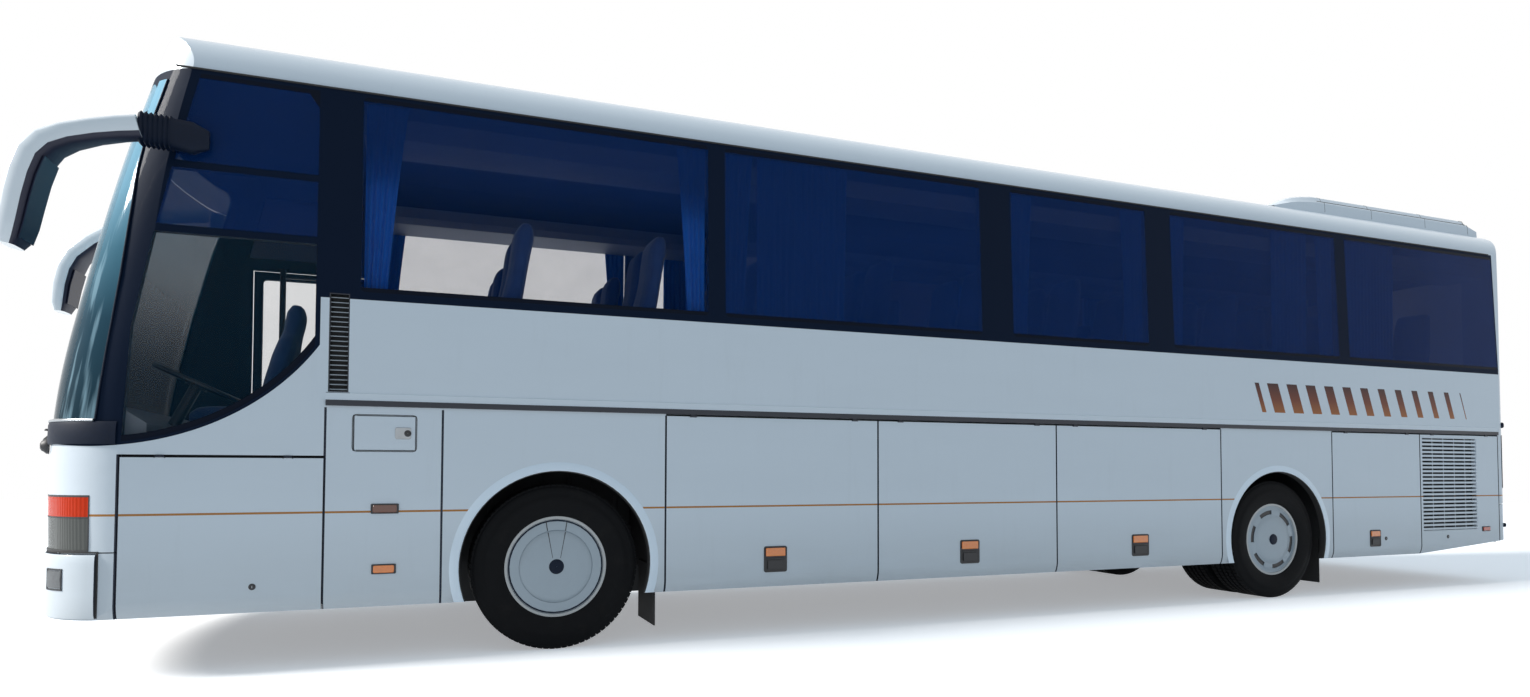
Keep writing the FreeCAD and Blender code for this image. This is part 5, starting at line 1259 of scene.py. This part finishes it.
front = {
    "bumperTurns": (73.7, -108.0),
    # (height, distance out) of the bumper's section
    "bumper": [(0.328, -0.012), (0.327, 0.002), (0.350, 0.009), (0.420, 0.0125), (0.600, 0.0135),
               (0.640, 0.0115), (0.652, 0.006), (0.6565, -0.002), (0.6565, -0.012)],
    # flat strips: first turn, last turn, foot, top, inner face and outer face
    "seams": [(75.7, -108.0, 0.652, 0.672, -0.020, -0.0045),
              (75.1, 73.8, 0.330, 0.668, -0.004, 0.0012),
              (75.1, 0.0, 0.660, 0.668, -0.004, 0.0010)],
    "bezels": [(9.05, 67.95, 0.946, 0.956, -0.006, 0.0016),
               (9.05, 67.95, 0.839, 0.845, -0.006, 0.0016),
               (9.05, 67.95, 0.6685, 0.6745, -0.006, 0.0016),
               (8.90, 9.20, 0.670, 0.955, -0.006, 0.0014),
               (67.80, 68.55, 0.670, 0.955, -0.006, 0.0014)],
    "fogTurns": (34.2, 50.0),
    "fog": [(0.478, 0.006), (0.482, 0.0165), (0.528, 0.0190), (0.568, 0.0165), (0.572, 0.006)],
    "fogFrames": [(34.0, 51.0, 0.470, 0.478, 0.006, 0.0175),
                  (34.0, 51.0, 0.572, 0.580, 0.006, 0.0175),
                  (33.70, 34.40, 0.472, 0.578, 0.006, 0.0175),
                  (50.15, 50.85, 0.472, 0.578, 0.006, 0.0175)],
    "ledgeTurn": 69.5,
    "ledge": [(1.334, 0.004), (1.334, 0.0135), (1.340, 0.0160), (1.347, 0.0125), (1.350, 0.004)],
    "cowlTurn": 84.0,
    "cowl": [(1.218, -0.003), (1.218, 0.0085), (1.232, 0.0125), (1.318, 0.0125), (1.334, 0.0095),
             (1.335, 0.0025), (1.300, 0.0015), (1.240, -0.003)],
    # (height, turn) of the windscreen's rear edge, and the turn at which its corner starts
    "screenEdge": [(3.185, 47.5), (3.08, 47.8), (2.95, 47.5), (2.80, 48.4), (2.70, 49.8),
                   (2.60, 52.4), (2.50, 55.2), (2.40, 57.4), (2.30, 59.5), (2.20, 61.3),
                   (2.10, 63.0), (1.90, 65.2), (1.70, 66.8), (1.50, 68.3), (1.40, 69.2),
                   (1.345, 69.5)],
    "screenStart": 39.2,
    "screenSteps": 7,
    "screenFaces": (0.0072, 0.0010),
    # turn past the edge, distance out and radius of the seal
    "screenSeal": (0.5, 0.0042, 0.0045),
}

onePiece([noseStrip("skin", *front["bumperTurns"], front["bumper"])], "bumper_skin", "coach_body",
         coachPaint, "body_paint", smooth=35)
seams = flatStrips(front["seams"], (1,))
onePiece(seams, "bumper_seams", "coach_body", flapRubber, "mudflap_rubber")
onePiece(flatStrips(front["bezels"]), "lamp_bezels", "coach_body", darkPlastic, "black_plastic")
near, far = front["fogTurns"]
fogs = [noseStrip("fog", sign * near, sign * far, front["fog"]) for sign in (1, -1)]
onePiece(fogs, "fog_lenses", "coach_body", lensClear, "lamp_glass")
onePiece(flatStrips(front["fogFrames"]), "fog_frames", "coach_body", darkPlastic, "black_plastic")
for name, what, finish, slot in (("screen_ledge", "ledge", steelRing, "cast_metal"),
                                 ("cowl_panel", "cowl", cowlBlack, "body_paint")):
    turn = front[f"{what}Turn"]
    onePiece([noseStrip(what, turn, -turn, front[what])], name, "coach_body", finish, slot)

# the windscreen's glass wraps round both corners
wraps = []
wrapEdges = []
for sign in (1, -1):
    rings = []
    start, steps = front["screenStart"], front["screenSteps"]
    outer, inner = front["screenFaces"]
    for z, rear in front["screenEdge"]:
        turns = [sign * (start + (rear - start) * i / steps) for i in range(steps + 1)]
        ring = [nosePoint(turn, outer, z) for turn in turns]
        rings.append(ring + [nosePoint(turn, inner, z) for turn in reversed(turns)])
    wraps.append(loft("wrap", rings))
    past, out, radius = front["screenSeal"]
    edge = [nosePoint(sign * (rear + past), out, z) for z, rear in front["screenEdge"]]
    wrapEdges.append(wire(edge, radius))
onePiece(wraps, "screen_corners", "coach_body", screenEdge, "tinted_glass", smooth=50)
onePiece(wrapEdges, "screen_corner_seals", "coach_body", cowlBlack, "body_paint")
print("front end")


# side: handles, markers, locks, fuel door rim and seals behind the gaps

sides = {
    "face": 1.25,
    # (flap's body, rear X, front X, foot, top) of each flap handle's recess
    "handles": [("luggage_flap_{}_1", 1.500, 1.658, 0.420, 0.584),
                ("luggage_flap_{}_2", -0.023, 0.135, 0.420, 0.584),
                ("luggage_flap_{}_3", -1.625, -1.459, 0.420, 0.584),
                ("cooler_flap_{}", -4.362, -4.226, 0.410, 0.554)],
    "lampShare": 0.62,
    # how far the tray's rim stands out round the recess, its width and how deep it is sunk
    "tray": (0.003, 0.008, 0.0035),
    # inset from the ends, from the foot and from the lamp's foot; then depth
    "lever": (0.022, 0.016, 0.026, 0.0062),
    "lip": (0.014, 0.020, 0.012, 0.0065),
    "lamp": (0.010, 0.008, 0.006),
    # name, body, rear X, front X, foot, top, lens and side of each marker lamp
    "markers": [("marker_high", "coach_body", 3.888, 4.034, 0.841, 0.897, lensDark, onePiece),
                ("marker_low", "coach_body", 3.898, 4.026, 0.503, 0.558, lensAmber, onePiece),
                ("marker_rear", "engine_flap_{}", -5.950, -5.829, 0.508, 0.555, lensRed,
                 bothSides)],
    "locks": [("service_flap", 4.609, 0.460, onePiece),
              ("engine_flap_{}", -5.315, 0.470, bothSides),
              ("cooler_flap_{}", -4.440, 0.476, bothSides)],
    "lockRadius": 0.017,
    "gaps": (3.660, 2.330, 0.808, -0.729, -2.420, -3.750, -4.935, -6.101),
    "gapTop": 1.424,
    "gapFoot": 0.345,
    # half width, inner and outer face of the seals behind the gaps
    "seal": (0.022, 1.2015, 1.2042),
    "serviceSeals": [((4.251, 1.2015, 0.345), (4.291, 1.2042, 1.40), 0.001, 1),
                     ((5.203, 1.2005, 0.345), (5.243, 1.2040, 1.150), 0.001, 1),
                     ((4.275, 1.2015, 1.130), (5.219, 1.2042, 1.185), 0.001, 1)],
    "fuel": (3.802, 4.132, 1.194, 1.395),
    # from the flap's rear edge and foot: the latch's ends and heights, and the lock's middle
    "latch": (0.028, 0.112, 0.068, 0.134),
    "fuelLock": (0.045, 0.101),
    "rimRadius": 0.022,
    "knob": [(0.0015, 1.2600), (0.012, 1.2600), (0.017, 1.2585), (0.019, 1.2545), (0.019, 1.2525),
             (0.0015, 1.2525)],
}


def flapHandle(x0, x1, z0, z1):
    # a sunk black tray with a grab lever in it and a lamp along its top
    y = sides["face"] + 0.002
    split = z0 + (z1 - z0) * sides["lampShare"]
    out, width, sunk = sides["tray"]
    rim = cushionPlate(x0 - out, x1 + out, z0 - out, z1 + out, sides["face"] + 0.0006, 0.004, 0.014)
    chooseFaces(rim, lambda middle, normal: normal.y > 0.9)
    bpy.ops.mesh.inset(thickness=width, depth=0)
    bpy.ops.transform.translate(value=(0, -sunk, 0))
    bpy.ops.object.mode_set(mode="OBJECT")
    inset, foot, below, depth = sides["lever"]
    lever = cushionPlate(x0 + inset, x1 - inset, z0 + foot, split - below, y, depth, 0.008)
    inset, low, high, depth = sides["lip"]
    lip = block("lip", (x0 + inset, y, split - low), (x1 - inset, y + depth, split - high), 0.002)
    inset, above, depth = sides["lamp"]
    lamp = cushionPlate(x0 + inset, x1 - inset, split, z1 - above, y, depth, 0.006, 0.003)
    return [rim, lever, lip], lamp


for index, (flap, *edges) in enumerate(sides["handles"]):
    tray, lamp = flapHandle(*edges)
    bothSides(tray, f"flap_handle_{index + 1}", flap, darkPlastic, "black_plastic")
    bothSides([lamp], f"flap_lamp_{index + 1}", flap, lensAmber, "lamp_glass")


def sideLamp(name, body, x0, x1, z0, z1, glass, place):
    # a dark base with a crowned lens
    y = sides["face"]
    base = cushionPlate(x0, x1, z0, z1, y + 0.0006, 0.004, 0.006)
    x0, x1, z0, z1 = x0 + 0.010, x1 - 0.010, z0 + 0.007, z1 - 0.007
    crown = cushionPlate(x0, x1, z0, z1, y + 0.004, 0.006, 0.008, 0.003)
    place([base], f"{name}_base", body, darkPlastic, "black_plastic")
    place([crown], f"{name}_lens", body, glass, "lamp_glass")


for marker in sides["markers"]:
    sideLamp(*marker)

for index, (flap, x, z, place) in enumerate(sides["locks"]):
    y, r = sides["face"], sides["lockRadius"]
    profile = [(0.0015, y + 0.0030), (r * 0.45, y + 0.0030), (r * 0.50, y + 0.0042),
               (r * 0.80, y + 0.0042), (r, y + 0.0022), (r * 1.03, y + 0.0004),
               (0.0015, y + 0.0004)]
    barrel = lathe("barrel", (x, 0, z), profile, 28)
    slot = block("slot", (x - 0.0016, y + 0.0028, z - 0.0065),
                 (x + 0.0016, y + 0.0040, z + 0.0065), 0.0006)
    place([barrel], f"lock_barrel_{index + 1}", flap, darkPlastic, "cast_metal")
    place([slot], f"lock_slot_{index + 1}", flap, steelRing, "black_plastic")

x0, x1, z0, z1 = sides["fuel"]
rim = roundedOutline(x0 - 0.003, x1 + 0.003, z0 - 0.003, z1 + 0.003, 1.2498, sides["rimRadius"])
onePiece([wire(rim, 0.0019, True)], "fuel_rim", "coach_body", flapRubber, "mudflap_rubber")
rear, fore, foot, top = sides["latch"]
latch = cushionPlate(x0 + rear, x0 + fore, z0 + foot, z0 + top, 1.2505, 0.0025, 0.010)
onePiece([latch], "fuel_latch", "fuel_flap", steelRing, "cast_metal")
along, up = sides["fuelLock"]
knob = lathe("knob", (x0 + along, 0, z0 + up), sides["knob"], 24)
onePiece([knob], "fuel_lock", "fuel_flap", darkPlastic, "black_plastic")

seals = []
half, inner, outer = sides["seal"]
for x in sides["gaps"]:
    foot = sides["gapFoot"] if x > -4 else sides["gapFoot"] + 0.05
    seals += blocks(((x - half, inner, foot), (x + half, outer, sides["gapTop"]), 0.001, 1))
seals += blocks(((sides["gaps"][-1], inner, 1.405), (sides["gaps"][1], outer, 1.4435), 0.001, 1))
bothSides(seals, "gap_seals", "coach_body", flapRubber, "mudflap_rubber")
seals = blocks(*sides["serviceSeals"])
onePiece(seals, "service_seals", "coach_body", flapRubber, "mudflap_rubber")
print("side details")


# grilles: dark mesh behind the slats, upright ties across them

grille = {
    "engine": (-5.762, -4.967, 0.531, 1.402),
    "vent": (4.158, 4.261, 1.520, 2.073),
    "ties": 4,
    "slats": 24,
    "slatFoot": 0.533,
    "slatTop": 1.400,
    "slatHalf": 0.0095,
    # inner and outer face of each layer
    "backFaces": (1.2055, 1.2085),
    "tieFaces": (1.2395, 1.2425),
    "slatFaces": (1.2432, 1.2462),
    "ventFaces": (1.2062, 1.2090),
}
x0, x1, z0, z1 = grille["engine"]
near, far = grille["backFaces"]
backs = blocks(((x0 - 0.006, near, z0 - 0.004), (x1 + 0.006, far, z1 + 0.004), 0.001, 1))
bothSides(backs, "grille_back", "engine_flap_{}", flapRubber, "mudflap_rubber")
slats = []
near, far = grille["tieFaces"]
for i in range(grille["ties"]):
    x = x0 + (x1 - x0) * (i + 1) / (grille["ties"] + 1)
    slats += blocks(((x - 0.003, near, z0 - 0.003), (x + 0.003, far, z1 + 0.003), 0.0008, 1))
pitch = (grille["slatTop"] - grille["slatFoot"]) / grille["slats"]
half = grille["slatHalf"]
near, far = grille["slatFaces"]
for i in range(grille["slats"]):
    z = grille["slatFoot"] + pitch * (i + 0.5) - 0.004
    slats += blocks(((x0 - 0.002, near, z - half), (x1 + 0.002, far, z + half), 0.0012, 1))
rim = roundedOutline(x0 - 0.004, x1 + 0.004, z0 - 0.004, z1 + 0.004, 1.2495, 0.010)
slats.append(wire(rim, 0.0030, True))
bothSides(slats, "grille_slats", "engine_flap_{}", coachPaint, "body_paint")
x0, x1, z0, z1 = grille["vent"]
near, far = grille["ventFaces"]
backs = blocks(((x0 + 0.004, near, z0 + 0.004), (x1 - 0.004, far, z1 - 0.004), 0.001, 1))
bothSides(backs, "vent_back", "coach_body", flapRubber, "mudflap_rubber")
print("grilles")


# wipers: a spindle, a tapering arm and a blade on each half of the windscreen

wiper = {
    # place across and height of the arm's two ends
    "spindle": (0.905, 1.212),
    "joint": (0.500, 1.292),
    # (distance out, radius) of the spindle's cap; (share of the arm, width) along the arm
    "cap": [(0.004, 0.044), (0.016, 0.042), (0.026, 0.032), (0.036, 0.026), (0.042, 0.014)],
    "arm": [(0.0, 0.034), (0.15, 0.030), (0.4, 0.022), (0.7, 0.017), (1.0, 0.013)],
    "armOut": 0.030,
    "armBow": 0.010,
    "blade": (0.880, 0.150, 1.296, 1.345),
    "bladeOut": 0.024,
}


def frontPoint(y, z, out=0.0):
    reach = abs(y)
    if reach <= hull["bulge"] * math.sin(math.radians(hull["lean"])):
        turn = math.degrees(math.asin(reach / hull["bulge"]))
    else:
        turn = math.degrees(math.asin(min(1.0, (reach - hull["cornerY"]) / hull["corner"])))
    return nosePoint(math.copysign(turn, y), out, z)


def knobAt(spot, outward, profile):
    # a round knob that stands out of a surface
    rings = [ringAt(spot + outward * out, outward, 2 * r, 2 * r, lateral=(0, 0, 1), square=1.0)
             for out, r in profile]
    return loft("knob", rings)


wipers = []
for sign in (1, -1):
    y0, z0 = wiper["spindle"]
    y1, z1 = wiper["joint"]
    foot = frontPoint(sign * y0, z0)
    outward = (frontPoint(sign * y0, z0, 1.0) - foot).normalized()
    wipers.append(knobAt(foot, outward, wiper["cap"]))
    spots = []
    for t, _ in wiper["arm"]:
        out = wiper["armOut"] + wiper["armBow"] * math.sin(math.pi * t)
        spots.append(frontPoint(sign * (y0 + (y1 - y0) * t), z0 + (z1 - z0) * t, out))
    rings = []
    for i, (t, width) in enumerate(wiper["arm"]):
        along = alongAt(spots, i)
        rings.append(ringAt(spots[i], along, 0.011, width, lateral=along.cross(outward), count=12))
    wipers.append(loft("arm", rings))
    ya, yb, za, zb = wiper["blade"]
    line = [(sign * (ya + (yb - ya) * i / 10), za + (zb - za) * i / 10) for i in range(11)]
    out = wiper["bladeOut"]
    wipers.append(wire([frontPoint(y, z, out - 0.008) for y, z in line], 0.0048))
    wipers.append(wire([frontPoint(y, z, out + 0.006 * math.sin(math.pi * i / 10))
                        for i, (y, z) in enumerate(line)], 0.0040))
    for y, z in line[1::2]:
        wipers.append(wire([frontPoint(y, z, out - 0.010), frontPoint(y, z, out + 0.006)], 0.0055))
onePiece(wipers, "wiper_arms", "coach_body", darkPlastic, "black_plastic", ["wipers"])
print("wipers")


# roof: gutters along both sides and hatch seals

roof = {
    "gutter": (-6.085, 5.02, 1.2145, 3.2405),
    "hatches": ((1.055, 1.815), (-2.745, -1.985)),
    "hatchHalf": 0.28,
}
x0, x1, y, z = roof["gutter"]
gutter = wire([(x0, y, z), (x1, y, z)], 0.0055)
bothSides([gutter], "roof_gutter", "coach_body", flapRubber, "mudflap_rubber")
seals = []
half = roof["hatchHalf"] + 0.004
for x0, x1 in roof["hatches"]:
    outline = roundedOutline(x0 - 0.004, x1 + 0.004, -half, half, 0, 0.03)
    seals.append(wire([(p.x, p.z, 3.5115) for p in outline], 0.0065, True))
onePiece(seals, "hatch_seals", "coach_body", flapRubber, "mudflap_rubber")
print("roof")


# the cooling unit: a moulded cover with a fold along each side, seams, and fans let into its top

cooling = {
    # (X, lift of the section) from the sloped front to the tail
    "stations": [(-3.368, 0.19), (-3.46, 0.40), (-3.58, 0.66), (-3.665, 0.80), (-3.80, 0.92),
                 (-3.925, 1.0), (-5.20, 1.0), (-6.00, 1.0), (-6.085, 0.98), (-6.165, 0.80),
                 (-6.243, 0.60)],
    # (half width, height) round the section, from the foot to the middle
    "section": [(1.0285, 3.468), (1.0295, 3.490), (1.026, 3.572), (1.020, 3.583), (0.996, 3.588),
                (0.976, 3.634), (0.950, 3.6475), (0.880, 3.6485), (0.820, 3.6400), (0.0, 3.6400)],
    "foot": 3.466,
    "seams": (-4.02, -4.66, -5.44, -6.10),
    # front, rear, half width, height and radius of the lines along each side
    "lines": [(-3.42, -6.235, 1.0245, 3.4655, 0.0052), (-3.93, -6.075, 1.0175, 3.5865, 0.0026)],
    "fans": (-4.30, -5.05, -5.80),
    "fanY": 0.44,
    # (radius, thickness) of the guard's hoops
    "hoops": [(0.060, 0.0036), (0.105, 0.0036), (0.150, 0.0036), (0.195, 0.0036), (0.235, 0.0044)],
    "hoopHeight": 3.6455,
    "spokes": 6,
    "spoke": (0.03, 0.232, 3.6445, 0.0034),
    "well": (0.235, 3.6385, 0.0035),
}
rings = []
for x, lift in cooling["stations"]:
    half = [(x, y, cooling["foot"] + (z - cooling["foot"]) * lift) for y, z in cooling["section"]]
    rings.append(half + [(x, -y, z) for x, y, z in reversed(half[:-1])])
onePiece([loft("cover", rings)], "cooling_cover", "coach_body", coachPaint, "body_paint",
         ["ac_unit"], 25)
seams = []
for x in cooling["seams"]:
    top = [(x, y - 0.001, z) for y, z in cooling["section"][1:]]
    seams.append(wire(top + [(x, -y, z) for x, y, z in reversed(top[:-1])], 0.0022))
for sign in (1, -1):
    for fore, rear, y, z, radius in cooling["lines"]:
        seams.append(wire([(fore, sign * y, z), (rear, sign * y, z)], radius))
seams.append(wire([(-3.372, -0.95, 3.4665), (-3.372, 0.95, 3.4665)], 0.005))
onePiece(seams, "cooling_seams", "coach_body", flapRubber, "mudflap_rubber")
fans = []
wells = []
near, far, height, thick = cooling["spoke"]
wellRadius, wellHeight, wellDepth = cooling["well"]
for x in cooling["fans"]:
    for y in (cooling["fanY"], -cooling["fanY"]):
        for radius, bar in cooling["hoops"]:
            fans.append(wire(circle(x, y, cooling["hoopHeight"], radius), bar, True))
        inner, outer = (circle(x, y, height, radius, cooling["spokes"]) for radius in (near, far))
        fans += [wire([start, end], thick) for start, end in zip(inner, outer)]
        wells.append(plate("well", circle(x, y, wellHeight, wellRadius), (0, 0, wellDepth)))
onePiece(fans, "fan_guards", "coach_body", steelRing, "cast_metal")
onePiece(wells, "fan_wells", "coach_body", darkPlastic, "black_plastic")
print("cooling unit")


# tail: lamp bezels, corner rollers, and louvres and a pull on the lid

tail = {
    "cornerX": -6.115,
    "cornerY": 1.082,
    "corner": 0.170,
    "bars": (0.931, 1.055, 1.185, 1.315, 1.440),
    "turns": (-4.2, 0, 12, 24, 36, 48, 60, 69),
    "barRadius": 0.0055,
    # turn, height and radius of each roller; (distance out, share of the radius) of its shape
    "rollers": ((58, 1.545, 0.028), (58, 0.560, 0.021)),
    "roller": [(-0.004, 1.0), (0.010, 1.0), (0.018, 0.86), (0.0225, 0.55)],
    "louvres": 7,
    "louvrePitch": 0.050,
    "louvreFoot": 1.30,
    "louvreHalf": 0.51,
    # (X, height) of a louvre's section
    "louvre": [(-6.2838, 0.0), (-6.2905, -0.006), (-6.2905, -0.012), (-6.2838, -0.030)],
    "pull": ((-6.2912, -0.11, 0.862), (-6.284, 0.11, 0.900), 0.003),
}


def tailPoint(turn, z, out=0.0):
    # turn is the direction that the rear corner faces, in degrees from straight back; below 0 the
    # rest is the distance towards the middle, in centimetres
    facing = math.radians(max(turn, 0.0))
    x = tail["cornerX"] - (tail["corner"] + out) * math.cos(facing)
    y = tail["cornerY"] + (tail["corner"] + out) * math.sin(facing) + min(turn, 0.0) / 100
    return Vector((x, y, z))


turns, heights = tail["turns"], tail["bars"]
bars = [wire([tailPoint(turn, z) for turn in turns], tail["barRadius"]) for z in heights]
bars += [wire([tailPoint(turn, heights[0]), tailPoint(turn, heights[-1])], tail["barRadius"])
         for turn in (turns[0], turns[-1])]
bothSides(bars, "tail_lamp_frame", "coach_body", cowlBlack, "black_plastic")
rollers = []
for turn, z, radius in tail["rollers"]:
    spot = tailPoint(turn, z)
    outward = (tailPoint(turn, z, 1.0) - spot).normalized()
    rollers.append(knobAt(spot, outward, [(out, radius * share) for out, share in tail["roller"]]))
bothSides(rollers, "corner_rollers", "coach_body", cowlBlack, "black_plastic")
half = tail["louvreHalf"]
slats = []
for i in range(tail["louvres"]):
    z = tail["louvreFoot"] + i * tail["louvrePitch"]
    outline = [(x, -half, z + rise) for x, rise in tail["louvre"]]
    slats.append(plate("louvre", outline, (0, 2 * half, 0)))
onePiece(slats + blocks(tail["pull"]), "lid_louvres", "engine_lid", mirrorPaint, "body_paint")
print("tail")


# floor, light and camera

studio = {
    "floorSize": 60.0,
    "floorTone": (0.66, 0.68, 0.70),
    "floorSeen": (0.95, 0.95, 0.95),
    "floorGlow": (0.345, 0.350, 0.360),
    "worldTone": (0.30, 0.39, 0.47),
    "sunStrength": 4.7,
    "sunTone": (1.0, 0.975, 0.94),
    "sunAngle": 14.0,
    "sunFrom": (8.0, -0.7, 4.6),
}


def seenStraight(place):
    # 1 for what the camera sees, also by way of glass and mirrors, and 0 for light
    ray = place.node("ShaderNodeLightPath")
    return ray | ray.other("Is Glossy Ray") | ray.other("Is Transmission Ray")


pick()
bpy.ops.mesh.primitive_plane_add(size=studio["floorSize"], location=(0, 0, 0))
floor = bpy.context.active_object
floor.name = "floor"
floorFinish, floorShader, floorPlace = newFinish(
    "floorPaint", roughness=0.9, specular=0.1, emissionStrength=1.0)
grain = floorPlace.noise(0.8, 3.0, 0.5)
floorTone = grain.mix(studio["floorTone"], scaled(studio["floorTone"], 1.02))
seen = seenStraight(floorPlace)
feed(floorShader, baseColor=seen.mix(floorTone, studio["floorSeen"]),
     emissionColor=seen.mix((0, 0, 0), studio["floorGlow"]))
floor.data.materials.append(floorFinish)

world = bpy.data.worlds.new("studio")
bpy.context.scene.world = world
world.use_nodes = True
background = world.node_tree.nodes["Background"]
sky = seenStraight(Wire(world.node_tree)).mix(studio["worldTone"], (1, 1, 1))
world.node_tree.links.new(sky.socket, background.inputs[0])

pick()
bpy.ops.object.light_add(type="SUN", location=studio["sunFrom"])
sun = bpy.context.active_object
sun.name = "keyLight"
sun.data.energy = studio["sunStrength"]
sun.data.color = studio["sunTone"]
sun.data.angle = math.radians(studio["sunAngle"])
sun.rotation_euler = Vector(studio["sunFrom"]).to_track_quat("Z", "Y").to_euler()

view = {
    "place": (3.848, 6.784, 1.100),
    "yaw": 0.38391,
    "pitch": 0.03392,
    "roll": 0.00227,
    "lens": 21.18,
    "sensor": 36,
    "clipStart": 0.05,
    "shift": (-0.0039, 0.0585),
}
ahead = Vector((-math.sin(view["yaw"]) * math.cos(view["pitch"]),
                -math.cos(view["yaw"]) * math.cos(view["pitch"]), math.sin(view["pitch"])))
level = Vector((-math.cos(view["yaw"]), math.sin(view["yaw"]), 0))
above = level.cross(ahead)
across = math.cos(view["roll"]) * level + math.sin(view["roll"]) * above
upward = -math.sin(view["roll"]) * level + math.cos(view["roll"]) * above
cameraData = bpy.data.cameras.new("camera")
camera = bpy.data.objects.new("camera", cameraData)
bpy.context.scene.collection.objects.link(camera)
turned = Matrix((across, upward, -ahead)).transposed().to_4x4()
camera.matrix_world = Matrix.Translation(view["place"]) @ turned
cameraData.sensor_width = view["sensor"]
cameraData.lens = view["lens"]
cameraData.shift_x, cameraData.shift_y = view["shift"]
cameraData.clip_start = view["clipStart"]
bpy.context.scene.camera = camera
